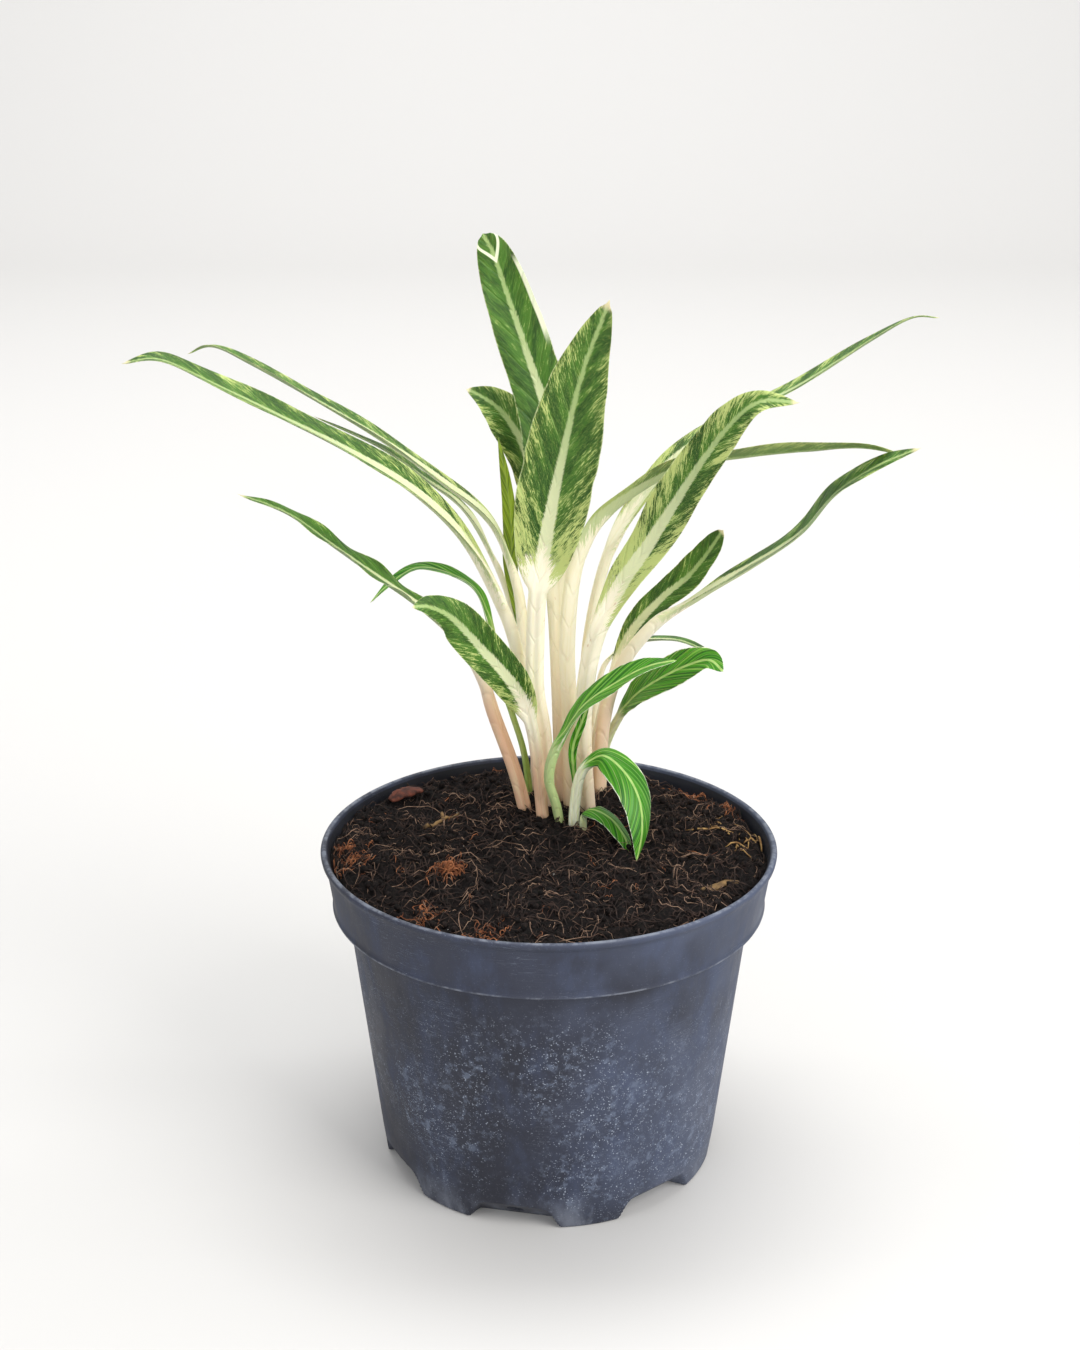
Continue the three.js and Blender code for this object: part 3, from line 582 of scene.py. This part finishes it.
def pot_finish():
    """Matt dark slate plastic, scuffed on its edges, with pale mineral dust, specks and hair scratches,
    painted light on its right side and painted shade inside the collar.
    """
    s = Shader("pot plastic", Roughness=0.6, Specular_IOR_Level=0.35)
    where, (x, y, z) = s.place()
    cloud = s.noise(where, 16.0, 4.0, 0.6)
    film = s.noise(s.stretched(where, (1, 1, 0.45)), 60.0, 6.0, 0.7)
    base = s.mix(s.span(cloud, 0.35, 0.65), srgb(34, 36, 47), srgb(45, 49, 64))
    base = s.mix(s.span(film, 0.45, 0.72, 0, 0.4), base, srgb(74, 84, 110))
    # painted light: the plastic turns paler blue towards +X, the side the key lamp is on
    painted_right_light = s.line(s.centred(cloud), 0.16, x)
    base = s.mix(s.span(painted_right_light, 0.0, 0.075, 0, 0.34), base, srgb(98, 110, 138))
    # hard-water specks, gathered in drifts on the body and strongest low down
    drift = s.noise(s.stretched(where, (1, 1, 0.8)), 22.0, 3.0, 0.6)
    band = s.times(s.span(z, LEDGE_HEIGHT - 0.002, 0.07), s.span(z, 0.0, 0.02, 0.4, 1.0))
    gather = s.times(s.span(drift, 0.36, 0.62), band)
    for scale, size in ((300.0, 0.13), (560.0, 0.2), (900.0, 0.28), (1500.0, 0.32)):
        near = s.span(s.cells(where, scale), size, size * 0.55)
        shown = s.times(near, s.span(s.noise(where, scale * 0.45, 2.0), 0.52, 0.6))
        base = s.mix(s.times(shown, s.line(gather, 0.8, 0.05)), base, srgb(168, 178, 194))
    smear = s.times(s.span(s.noise(where, 240.0, 5.0, 0.75), 0.5, 0.66), gather)
    base = s.mix(s.times(smear, 0.5), base, srgb(118, 130, 152))
    # chalky bloom near the foot
    foot = s.times(s.span(z, 0.018, 0.0), s.span(film, 0.4, 0.7))
    base = s.mix(s.times(foot, 0.5), base, srgb(132, 136, 144))
    # hair scratches
    scratch = s.noise(s.stretched(where, (14, 14, 240), (0.35, 0.2, 0)), 4.0, 2.0, 0.5, 0.4)
    hair = s.span(s.size(s.centred(scratch)), 0.008, 0.0)
    hair = s.times(hair, s.span(s.noise(where, 30.0, 2.0), 0.52, 0.66))
    base = s.mix(s.times(hair, 0.5), base, srgb(136, 146, 164))
    # worn lip and ledge, in broken patches
    lip = s.span(z, POT_HEIGHT - 0.0006, POT_HEIGHT - 0.0001)
    ledge = s.times(s.span(z, LEDGE_HEIGHT - 0.0002, LEDGE_HEIGHT + 0.0002),
                    s.span(z, LEDGE_HEIGHT + 0.0010, LEDGE_HEIGHT + 0.0006))
    worn = s.math("MAXIMUM", s.times(lip, 0.55), s.times(ledge, 0.5))
    worn = s.times(worn, s.span(s.noise(where, 150.0, 4.0, 0.7), 0.42, 0.62, 0.12, 1))
    base = s.mix(worn, base, srgb(138, 144, 156))
    # painted shade: the inside of the collar is darkened to near black, as in its own shadow
    out = s.math("SQRT", s.math("ADD", s.times(x, x), s.times(y, y)))
    skin = s.span(z, LEDGE_HEIGHT, POT_HEIGHT - LIP_DEPTH, COLLAR_FOOT_RADIUS - WALL / 2,
                  COLLAR_TOP_RADIUS - WALL / 2, smooth=False)
    within = s.span(s.math("SUBTRACT", skin, out), 0, 0.0003)
    inside = s.times(within, s.span(z, LEDGE_HEIGHT + 0.001, LEDGE_HEIGHT + 0.002))
    base = s.mix(s.times(inside, 0.85), base, srgb(15, 16, 22))
    s.bump(s.line(hair, -0.5, film), 0.00025, 0.6)
    return s.finish(base, s.span(film, 0.35, 0.7, 0.48, 0.72))


def mix_finish(name, dark, mid, light, scale):
    """Crumbly fibrous mix: three browns broken up by fine noise."""
    s = Shader(name, Roughness=0.92, Specular_IOR_Level=0.2)
    where, _ = s.place()
    broad = s.noise(where, scale * 0.12, 3.0)
    fine = s.noise(where, scale, 6.0, 0.7)
    colour = s.mix(s.span(fine, 0.42, 0.6), dark, mid)
    colour = s.mix(s.times(s.span(fine, 0.6, 0.72), s.span(broad, 0.4, 0.6)), colour, light)
    s.bump(fine, 0.0006, 0.9)
    return s.finish(colour)


def fibre_finish(name, dark, light):
    """Dry plant fibre or chip: two tones that vary over a few millimetres."""
    s = Shader(name, Roughness=0.75, Specular_IOR_Level=0.3)
    where, _ = s.place()
    colour = s.mix(s.span(s.noise(where, 260.0, 3.0), 0.35, 0.65), dark, light)
    s.bump(s.noise(where, 2200.0, 2.0), 0.0002, 0.6)
    return s.finish(colour)


# ---- Leaves ----

def midrib(route, share):
    """Point and slope at each share of a Catmull-Rom curve through the route, with mirrored ends."""
    p = np.array(route, dtype=float)
    p = np.vstack([2 * p[0] - p[1], p, 2 * p[-1] - p[-2]])
    spans = len(route) - 1
    step = np.minimum((share * spans).astype(int), spans - 1)
    f = (share * spans - step)[:, None]
    a, b, c, d = (p[step + k] for k in range(4))
    bend, twist = 2 * a - 5 * b + 4 * c - d, 3 * b - a - 3 * c + d
    point = 0.5 * (2 * b + (c - a) * f + bend * f**2 + twist * f**3)
    slope = 0.5 * ((c - a) + 2 * bend * f + 3 * twist * f**2)
    return point, slope / np.linalg.norm(slope, axis=1, keepdims=True)


def leaf_surface(leaf, look, seed, rows, columns):
    """A petiole that opens into a lance-shaped blade, as rings of points along the midrib.

    Ring angle a puts a point half * cos(a) across. Up from the midrib it is the petiole's ellipse,
    eased into a thin blade with a rib below and a crease above, plus the fold |across| * fold and
    waves that grow with the square of the distance from the midrib.
    """
    share = np.linspace(0, 1, rows)
    point, along = midrib(leaf["route"], share)
    start = leaf["blade"] / (len(leaf["route"]) - 1)
    s = np.clip((share - start) / (1 - start), 0, 1)[:, None]
    before = np.clip((share - start) / start, -1, 0)[:, None]
    widest, taper = leaf["widest"], leaf["taper"]
    lance = (s / widest) ** (taper * widest / (1 - widest)) * ((1 - s) / (1 - widest)) ** taper
    uneven = 1 + 0.06 * noise(s * 7, s * 0 + 0.5, seed) + 0.03 * noise(s * 19, s * 0 + 0.5, seed)
    stalk = leaf["stalk"] * (1 - s) + 0.0002 * s
    half = np.hypot(stalk, leaf["half"] * lance * uneven)
    low, high = (np.array(v, dtype=float) for v in leaf["faces"])
    normal = low + (high - low) * s
    normal = normal - (normal * along).sum(1, keepdims=True) * along
    normal /= np.linalg.norm(normal, axis=1, keepdims=True)
    side = np.cross(normal, along)
    angle = np.arange(columns)[None] * 2 * math.pi / columns
    reach = half * np.cos(angle)
    height = np.sin(angle)
    across = reach / half
    round_stalk = stalk * 0.85 * height * (1 - 0.3 * np.exp(-(across / 0.35) ** 2) * (height > 0))
    near = np.exp(-((reach / (0.9 * stalk + 0.0004)) ** 2))
    edge = np.sqrt(1 - across**2)
    rib = stalk * (1 - s) * 0.8 * near
    thin = np.where(height > 0, 0.00025 * edge - 0.25 * rib, -0.00025 * edge - rib)
    blade_like = eased(0.0, 0.12, s)
    lift = round_stalk * (1 - blade_like) + thin * blade_like
    lift = lift + leaf["fold"] * np.maximum(0, np.abs(reach) - stalk)
    amount, waves = look["ripple"]
    phase = 2 * math.pi * waves * s + seed + np.where(across > 0, 1.7, 0) * np.sign(across)
    lift = lift + amount * across**2 * eased(0.02, 0.3, s) * (1 - s) ** 0.5 * np.sin(phase)
    close = np.minimum(1, np.minimum(share, 1 - share) * (rows - 1) * 0.5 + 0.02)[:, None]
    rings = (point[:, None] + side[:, None] * (reach * close)[..., None]
             + normal[:, None] * (lift * close)[..., None])
    length = np.concatenate([[0], np.cumsum(np.linalg.norm(np.diff(point, axis=0), axis=1))])[:, None]
    fill = np.zeros_like(reach)
    place = np.stack([across + fill, s + before + fill, (height < 0) * blade_like + fill], -1)
    metres = np.stack([reach, length + fill, look.get("fleck", 0.4) + fill], -1)
    tones = np.stack([look.get("tan", 0.0) + fill, look.get("green", 0.0) + fill, seed * 3.7 + fill], -1)
    tint = np.stack([look.get(key, 0.0) + fill for key in ("cream", "forked", "yellow")], -1)
    return rings, {"place": place, "metres": metres, "look": tones, "tint": tint}


def add_leaves(old, young):
    """Every leaf in LEAVES, each with its own seed for the waves, the width and the markings."""
    columns, rows = 36, 130
    for seed, (name, leaf) in enumerate(LEAVES.items(), start=1):
        rings, attributes = leaf_surface(leaf, LOOKS[name], seed, rows, columns)
        faces = closed_rings(rows, columns)
        fresh = name in YOUNG
        piece(name.replace("leaf_", "foliage_"), rings, faces, young if fresh else old,
              name, attributes=attributes)


# ---- Pot ----

def straight(a, b, steps):
    """Points from a to b, without b."""
    t = np.linspace(0, 1, steps, endpoint=False)[:, None]
    return np.array(a) + (np.array(b) - np.array(a)) * t


def pot_wall():
    """The pot's profile as [radius, height] points, out along the base, up the outside, over the
    lip, down the inside and in along the floor."""
    lip = POT_HEIGHT - LIP_DEPTH
    inner_ledge = LEDGE_HEIGHT + WALL
    over = np.linspace(0, math.pi, 11)[:, None]
    bead = np.hstack([RIM_RADIUS + BEAD_RADIUS * (np.cos(over) - 1),
                      POT_HEIGHT + BEAD_RADIUS * (np.sin(over) - 1)])
    up = np.linspace(-math.pi / 2, 0, 6)[:, None]
    heel_middle = BASE_RADIUS - 0.0015
    heel = np.hstack([heel_middle + HEEL_RADIUS * np.cos(up), HEEL_RADIUS * (1 + np.sin(up))])
    within_notches = BASE_RADIUS - NOTCH_DEPTH - 0.002
    over_notches = (BASE_RADIUS + 0.0013, NOTCH_HEIGHT + 0.002)
    foot_inside = (BASE_RADIUS - WALL, 0.016)
    floor_edge = (BASE_RADIUS - WALL - 0.001, WALL)
    return np.vstack([
        straight((HUB_RADIUS, 0.0), (within_notches, 0.0), 6),
        straight((within_notches, 0.0), (heel_middle, 0.0), 12),
        heel,
        straight((BASE_RADIUS - 0.0002, 0.0018), over_notches, 24),
        straight(over_notches, (SHOULDER_RADIUS, LEDGE_HEIGHT - 0.0008), 34),
        [(SHOULDER_RADIUS + 0.0004, LEDGE_HEIGHT - 0.0002), (SHOULDER_RADIUS + 0.0014, LEDGE_HEIGHT)],
        straight((SHOULDER_RADIUS + 0.003, LEDGE_HEIGHT), (COLLAR_FOOT_RADIUS, LEDGE_HEIGHT), 2),
        [(COLLAR_FOOT_RADIUS + 0.0004, LEDGE_HEIGHT + 0.0001),
         (COLLAR_FOOT_RADIUS + 0.0006, LEDGE_HEIGHT + 0.0005),
         (COLLAR_FOOT_RADIUS + 0.0004, LEDGE_HEIGHT + 0.0011)],
        straight((COLLAR_FOOT_RADIUS + 0.0001, LEDGE_HEIGHT + 0.0018),
                 (COLLAR_TOP_RADIUS, lip - 0.0006), 12),
        [(COLLAR_TOP_RADIUS + 0.0004, lip - 0.0002), (RIM_RADIUS - 0.0002, lip + 0.0003)],
        bead,
        straight((COLLAR_TOP_RADIUS - WALL, lip), (COLLAR_FOOT_RADIUS - WALL, inner_ledge), 6),
        straight((COLLAR_FOOT_RADIUS - WALL, inner_ledge), (SHOULDER_RADIUS - WALL, inner_ledge), 2),
        straight((SHOULDER_RADIUS - WALL, inner_ledge), foot_inside, 6),
        straight(foot_inside, floor_edge, 14),
        straight(floor_edge, (HUB_RADIUS, WALL), 16),
    ])


def add_pot(plastic):
    """The profile turned about +Z. Round the foot, points in a notch are drawn in to its slanted face.

    At bearing b from a notch's middle the flat slanted face is at radius
    (BASE_RADIUS - NOTCH_DEPTH + z * NOTCH_DEPTH / NOTCH_HEIGHT) / cos(b).
    """
    profile = pot_wall()
    pitch = 2 * math.pi / NOTCHES
    half = math.atan(NOTCH_WIDTH / 2 / BASE_RADIUS)
    edge = 0.008  # half the turn over which a notch's side falls away
    spread = 2.2 * NOTCH_ROUNDING / BASE_RADIUS
    one = np.concatenate([np.linspace(-half + spread, half - spread, 8, endpoint=False),
                          np.linspace(half - spread, half + spread, 18, endpoint=False),
                          np.linspace(half + spread, pitch - half - spread, 12, endpoint=False),
                          np.linspace(pitch - half - spread, pitch - half + spread, 18, endpoint=False)])
    bearing = (FIRST_NOTCH + pitch * np.arange(NOTCHES)[:, None] + one[None]).ravel()
    sides = len(bearing)
    radius = np.repeat(profile[:, :1], sides, 1)
    height = np.repeat(profile[:, 1:], sides, 1)
    off = (bearing - FIRST_NOTCH + pitch / 2) % pitch - pitch / 2
    inner = np.arange(len(profile)) > np.argmax(profile[:, 1])
    skin = np.where(inner, WALL, 0.0)[:, None]
    rise = (height - skin * 1.4) / NOTCH_HEIGHT
    face = (BASE_RADIUS - NOTCH_DEPTH + np.maximum(0, rise) * (NOTCH_DEPTH + 0.0015) - skin) / np.cos(off)
    share = np.clip(rise, 0, 1)
    arch = half + NOTCH_ROUNDING * ((1 - share) ** 3 - 2 * share**4) / BASE_RADIUS
    inside = 1 - eased(-edge, edge, np.abs(off)[None] - arch - skin / BASE_RADIUS)
    radius = radius + np.minimum(0, face - radius) * inside
    wobble = 0.00012 * np.sin(2 * bearing + 0.6) + 0.00008 * np.sin(5 * bearing)
    radius = radius + wobble * eased(0.03, 0.1, height) * (1 - eased(0.1, POT_HEIGHT, height))
    points = np.stack([radius * np.cos(bearing), radius * np.sin(bearing), height], -1)
    faces = closed_rings(len(profile), sides)
    cut_drains(piece("moulded_pot", points, faces, plastic, "nursery_pot"))


def cut_drains(pot):
    """Cuts a round hole through the slanted face of each notch, square to it."""
    bearing = FIRST_NOTCH + 2 * math.pi / NOTCHES * np.arange(NOTCHES)[:, None]
    step = np.linspace(-3 * WALL, 3 * WALL, 3)[None] / math.sqrt(2)
    radius = BASE_RADIUS - NOTCH_DEPTH / 2 + step
    paths = np.stack([radius * np.cos(bearing), radius * np.sin(bearing),
                      NOTCH_HEIGHT / 2 - step + 0 * bearing], -1)
    points, faces = tubes(paths, np.full(paths.shape[:2], DRAIN_RADIUS), 20)
    mesh = bpy.data.meshes.new("drain cutters")
    mesh.from_pydata(points.tolist(), [], faces)
    cutter = bpy.data.objects.new("drain cutters", mesh)
    bpy.context.scene.collection.objects.link(cutter)
    cut = pot.modifiers.new("drains", "BOOLEAN")
    cut.object, cut.operation, cut.solver = cutter, "DIFFERENCE", "EXACT"
    bpy.context.view_layer.update()
    whole = pot.evaluated_get(bpy.context.evaluated_depsgraph_get())
    drilled = bpy.data.meshes.new_from_object(whole)
    pot.modifiers.clear()
    pot.data = drilled
    bpy.data.objects.remove(cutter)


# ---- Potting mix ----

# Swells of the mix by the stems, and one hollow: middle, height, and reach along X and Y.
SWELLS = (
    ((0.022, 0.006), -0.0035, (0.007, 0.007)),
    ((0.022, 0.034), 0.0028, (0.008, 0.008)),
    ((-0.004, 0.020), 0.0022, (0.020, 0.016)),
)


def mix_top(x, y):
    """Height of the mix: a low dome that dips at the wall, clods of several sizes, and the swells."""
    r = np.hypot(x, y)
    dome = MIX_EDGE + MIX_CROWN * (1 - (r / COLLAR_TOP_RADIUS) ** 2)
    clods = 0.0015 * rough(x, y, 0.017, 3, 11) + 0.0018 * np.abs(rough(x, y, 0.0052, 3, 23))
    crumbs = 0.0007 * rough(x, y, 0.0017, 2, 37)
    swells = sum(height * np.exp(-(((x - px) / wide) ** 2 + ((y - py) / deep) ** 2))
                 for (px, py), height, (wide, deep) in SWELLS)
    return dome + clods + crumbs + swells - 0.0012 * eased(0.076, MIX_RADIUS, r)


def add_mix(material):
    """A disc of rings whose height is mix_top, closed by a side that follows the pot and a floor."""
    sides, rings = 460, 170
    bearing = np.arange(sides) * 2 * math.pi / sides
    radius = MIX_RADIUS * np.linspace(0.002, 1, rings)[:, None] ** 0.85
    jog = 0.3 * scattered(np.arange(rings)[:, None], np.arange(sides)[None], 5) * MIX_RADIUS / rings
    jog[-1] = 0
    radius = radius + jog * (radius > 0.004)
    x, y = radius * np.cos(bearing), radius * np.sin(bearing)
    top = np.stack([x, y, mix_top(x, y)], -1)
    clear = WALL + 0.0003
    chamfer = NOTCH_HEIGHT + 4 * WALL
    side = [(COLLAR_FOOT_RADIUS - clear, LEDGE_HEIGHT + clear),
            (SHOULDER_RADIUS - clear - 0.0004, LEDGE_HEIGHT + clear),
            (BASE_RADIUS - clear, chamfer), (BASE_RADIUS - NOTCH_DEPTH - 5 * WALL, clear), (0.0005, clear)]
    walls = np.array([[[r * math.cos(b), r * math.sin(b), z] for b in bearing] for r, z in side])
    points = np.concatenate([top, walls])
    faces = [face[::-1] for face in closed_rings(len(points), sides)]
    piece("peat_bed", points, faces, material, "potting_mix")


def inside_pot(random, count, clear):
    """Places spread evenly over the mix, at least clear from its edge."""
    r = (MIX_RADIUS - clear) * np.sqrt(random.random(count))
    bearing = random.random(count) * 2 * math.pi
    return r * np.cos(bearing), r * np.sin(bearing)


CUBE = np.array([[i, j, k] for i in (-1, 1) for j in (-1, 1) for k in (-1, 1)], dtype=float)
CUBE_FACES = np.array([[0, 1, 3, 2], [4, 6, 7, 5], [0, 4, 5, 1], [2, 3, 7, 6], [0, 2, 6, 4], [1, 5, 7, 3]])


def lump_shapes(random, sizes, x, y, z):
    """Crumbs: cubes with their corners pulled about, each turned at random and set at a place."""
    count = len(sizes)
    corners = CUBE[None] * (0.6 + 0.5 * random.random((count, 8, 1)))
    corners = corners + random.normal(0, 0.16, (count, 8, 3))
    frames, _ = np.linalg.qr(random.normal(size=(count, 3, 3)))
    frames *= np.sign(np.linalg.det(frames))[:, None, None]
    corners = np.einsum("nij,nkj->nki", frames, corners * sizes[:, None, None] / 2)
    corners += np.stack([x, y, z], -1)[:, None]
    faces = (CUBE_FACES[None] + (np.arange(count) * 8)[:, None, None]).reshape(-1, 4)
    return corners, faces


def add_crumbs(name, material, random, count, small, large):
    """Loose crumbs half sunk in the mix, their corners rounded by one subdivision."""
    x, y = inside_pot(random, count, 0.002)
    sizes = small + (large - small) * random.random(count) ** 3
    points, faces = lump_shapes(random, sizes, x, y, mix_top(x, y) + sizes * 0.18)
    thing = piece(name, points, faces.tolist(), material)
    rounded = thing.modifiers.new("rounded", "SUBSURF")
    rounded.levels = rounded.render_levels = 1


def strands(random, x, y, lengths, steps, curl, lift):
    """Paths of loose fibres: each starts at a place, wanders by a running turn, and rides on the mix.

    The heading is a start angle plus a steady turn plus a slow wave, and the height is the mix's plus
    an arch of its own.
    """
    count = len(x)
    t = np.linspace(0, 1, steps)[None]
    heading = random.random((count, 1)) * 2 * math.pi + random.normal(0, curl, (count, 1)) * t
    wave = random.normal(0, 0.45, (count, 1)) * np.sin(t * random.uniform(3, 9, (count, 1)))
    heading = heading + wave
    stride = lengths[:, None] / (steps - 1)
    px = x[:, None] + np.cumsum(np.cos(heading) * stride, 1)
    py = y[:, None] + np.cumsum(np.sin(heading) * stride, 1)
    r = np.hypot(px, py)
    held = np.minimum(1, (MIX_RADIUS - 0.0012) / np.maximum(r, 1e-6))
    px, py = px * held, py * held
    arch = np.sin(math.pi * t) * random.random((count, 1)) ** 2 * lift
    wiggle = 0.0004 * np.sin(t * random.uniform(6, 20, (count, 1)) + random.random((count, 1)) * 6)
    return np.stack([px, py, mix_top(px, py) + 0.0002 + arch + wiggle], -1)


def add_fibres(name, material, random, count, length, thick, curl=2.0, lift=0.003, where=None):
    """A mat of fibres as one piece. where is (x, y, spread) for a tuft, or None for all over."""
    if where is None:
        x, y = inside_pot(random, count, 0.0015)
    else:
        x, y = where[0] + random.normal(0, where[2], count), where[1] + random.normal(0, where[2], count)
    lengths = length * (0.35 + random.random(count) ** 2)
    steps = 9
    paths = strands(random, x, y, lengths, steps, curl, lift)
    shape = np.sin(np.linspace(0.12, 0.97, steps) * math.pi) ** 0.4
    radii = thick * (0.5 + random.random((count, 1))) * shape[None]
    points, faces = tubes(paths, radii, 4)
    return piece(name, points, faces, material)


# ---- Litter ----

# Small tufts of orange coir near the rim, besides the large one.
COIR_TUFTS = ((-0.0765, -0.004), (-0.072, -0.014), (-0.044, -0.056), (-0.022, -0.070),
              (0.058, 0.052), (0.070, 0.035))


def slab(centre, sizes, bearing, tilt, seed):
    """A worn flat piece: rings along its length, each a squashed oval that swells and thins by noise."""
    rows, columns, wear = 26, 24, 0.12
    t = np.linspace(0, 1, rows)[:, None]
    angle = np.arange(columns)[None] * 2 * math.pi / columns
    fullness = np.clip(np.sin(math.pi * (0.03 + 0.94 * t)), 0, 1) ** 0.35
    bite = 1 + wear * noise(t * 7, angle * 2 / math.pi, seed) + wear * noise(t * 19, angle, seed)
    x = (t - 0.5) * sizes[0] + 0 * angle
    y = sizes[1] / 2 * np.sign(np.cos(angle)) * np.abs(np.cos(angle)) ** 0.8 * fullness * bite
    z = sizes[2] / 2 * np.sign(np.sin(angle)) * np.abs(np.sin(angle)) ** 0.8 * fullness * bite
    z = z + sizes[2] * 0.5 * noise(t * 3, 0 * angle, seed + 1)
    c, s = math.cos(tilt), math.sin(tilt)
    x, z = x * c - z * s, x * s + z * c
    c, s = math.cos(bearing), math.sin(bearing)
    points = np.stack([centre[0] + x * c - y * s, centre[1] + x * s + y * c, centre[2] + z], -1)
    return points, closed_rings(rows, columns)


def over(node):
    """X and Y of the middle of a CAD node's box."""
    low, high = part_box(node)
    return [(a + b) / 2 for a, b in zip(low[:2], high[:2])]


def add_litter(random, coir, bark, chip, straw):
    """The loose pieces that stand for the CAD's own litter, each over its node's place."""
    x, y = over("coir_tuft")
    curls = add_fibres("coir_curls", coir, random, 110, 0.006, 0.00018, 5.0, 0.004,
                       (x, y, 0.0018))
    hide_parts("coir_tuft")
    x, y = over("bark_piece")
    points, faces = slab((x, y, mix_top(x, y) + 0.0022), (0.014, 0.0075, 0.0022), 0.6, 0.12, 9)
    piece("bark_flake", points, faces, bark, "bark_piece")
    x, y = over("wood_chip")
    points, faces = slab((x, y, mix_top(x, y) + 0.0018), (0.0165, 0.0036, 0.0016), 0.44, 0.05, 4)
    piece("pale_chip", points, faces, chip, "wood_chip")
    x, y = over("forked_twig")
    t = np.linspace(0, 1, 12)
    stem = np.stack([x - 0.007 + 0.013 * t, y - 0.006 + 0.013 * t, 0 * t], -1)
    fork = np.stack([x - 0.001 * t, y + 0.009 * t + 0.0006, 0 * t], -1)
    paths = np.stack([stem, fork])
    paths[..., 2] = mix_top(paths[..., 0], paths[..., 1]) + 0.0009
    points, faces = tubes(paths, 0.0008 * (1.05 - 0.5 * np.stack([t, t])), 8)
    piece("forked_stick", points, faces, chip, "forked_twig")
    bits = add_fibres("straw_bits", straw, random, 14, 0.014, 0.0003, 0.5, 0.002,
                      (*over("straw"), 0.004))
    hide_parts("straw")


# ---- Floor, light and camera ----

def add_stage():
    """A pale floor of matt paper that sweeps up into a wall."""
    turn = np.linspace(-math.pi / 2, 0, 17)
    sweep = 0.9
    back = 2.2
    profile = np.vstack([
        [(-3.0, 0.0)], np.stack([back + sweep * np.cos(turn), sweep + sweep * np.sin(turn)], -1),
        [(back + sweep, 5.0)],
    ])
    wide = 4.0
    points = np.array([[[x, y, z] for x in (-wide, wide)] for y, z in profile])
    faces = [[2 * i, 2 * i + 1, 2 * i + 3, 2 * i + 2] for i in range(len(profile) - 1)]
    mesh = bpy.data.meshes.new("backdrop")
    mesh.from_pydata(points.reshape(-1, 3).tolist(), [], faces)
    mesh.polygons.foreach_set("use_smooth", [True] * len(faces))
    paper = Shader("backdrop paper", Roughness=0.9, Specular_IOR_Level=0.1)
    mesh.materials.append(paper.finish(srgb(208, 207, 205)))
    floor = bpy.data.objects.new("backdrop", mesh)
    bpy.context.scene.collection.objects.link(floor)


def add_lamp(name, place, aim, size, power, colour=(1, 1, 1)):
    """A square soft lamp at place, facing aim."""
    data = bpy.data.lights.new(name, "AREA")
    data.size, data.energy, data.color = size, power, colour
    lamp = bpy.data.objects.new(name, data)
    lamp.location = place
    bpy.context.scene.collection.objects.link(lamp)
    lamp.rotation_mode = "QUATERNION"
    direction = Vector(aim) - Vector(place)
    lamp.rotation_quaternion = direction.to_track_quat("-Z", "Y")


def add_light():
    """An even white surround, a key from the right, and soft light from the left, front and top."""
    world = bpy.data.worlds.new("soft studio")
    bpy.context.scene.world = world
    world.use_nodes = True
    surround = world.node_tree.nodes["Background"].inputs
    surround["Color"].default_value = srgb(250, 250, 252)
    surround["Strength"].default_value = 0.62
    add_lamp("key", (0.85, -0.75, 0.95), (0, 0, 0.16), 0.8, 13.5, (1.0, 0.985, 0.96))
    add_lamp("fill", (-1.1, -1.0, 0.8), (0, 0, 0.15), 1.1, 3.5, (0.95, 0.97, 1.0))
    add_lamp("front", (0.1, -1.5, 0.5), (0, 0, 0.18), 0.9, 4)
    add_lamp("top", (0.1, 0.1, 1.7), (0, 0, 0.1), 1.0, 3)
    add_lamp("wall wash", (0, 0.8, 2.6), (0, 2.6, 0.7), 2.0, 75)
    bpy.context.scene.view_settings.view_transform = "Standard"


def add_camera():
    """Level with the middle of the plant and 20 degrees above it, looking along +Y."""
    target = Vector((-0.0033, 0, 0.1926))
    distance, pitch = 0.75, math.radians(19.92)
    data = bpy.data.cameras.new("camera")
    data.lens, data.sensor_width = 55.07, 36
    camera = bpy.data.objects.new("camera", data)
    camera.location = target + distance * Vector((0, -math.cos(pitch), math.sin(pitch)))
    camera.rotation_euler = (math.pi / 2 - pitch, 0, 0)
    bpy.context.scene.collection.objects.link(camera)
    bpy.context.scene.camera = camera


# ---- The whole plant ----

def main():
    add_camera()
    add_stage()
    add_light()
    random = np.random.default_rng(20)
    peat = mix_finish("peat", srgb(8, 6, 6), srgb(27, 20, 19), srgb(66, 49, 40), 900.0)
    crumb = mix_finish("peat crumb", srgb(10, 8, 8), srgb(34, 26, 24), srgb(78, 58, 46), 700.0)
    dark_fibre = fibre_finish("dark root fibre", srgb(26, 19, 17), srgb(62, 46, 39))
    tan_fibre = fibre_finish("coir fibre", srgb(92, 68, 56), srgb(166, 136, 114))
    coir = fibre_finish("orange coir", srgb(96, 52, 32), srgb(172, 110, 72))
    bark = fibre_finish("bark", srgb(50, 24, 18), srgb(104, 54, 38))
    chip = fibre_finish("weathered wood", srgb(74, 56, 38), srgb(132, 104, 66))
    straw = fibre_finish("straw", srgb(120, 88, 52), srgb(182, 146, 92))
    grit = fibre_finish("perlite grit", srgb(138, 134, 128), srgb(190, 188, 182))
    add_pot(pot_finish())
    add_mix(peat)
    add_crumbs("peat_crumbs", crumb, random, 2300, 0.0007, 0.0040)
    add_crumbs("perlite", grit, random, 14, 0.0005, 0.0012)
    add_fibres("root_fibres", dark_fibre, random, 1500, 0.015, 0.00017)
    add_fibres("coir_fibres", tan_fibre, random, 430, 0.018, 0.0001, 2.0)
    add_fibres("coir_wisps", coir, random, 40, 0.010, 0.00012, 3.0)
    for number, (x, y) in enumerate(COIR_TUFTS, start=1):
        add_fibres(f"coir_edge_tuft_{number}", coir, random, 34, 0.007, 0.00014, 4.0,
                   0.0025, (x, y, 0.0028))
    add_litter(random, coir, bark, chip, straw)
    add_leaves(leaf_finish(), young_leaf_finish())


main()
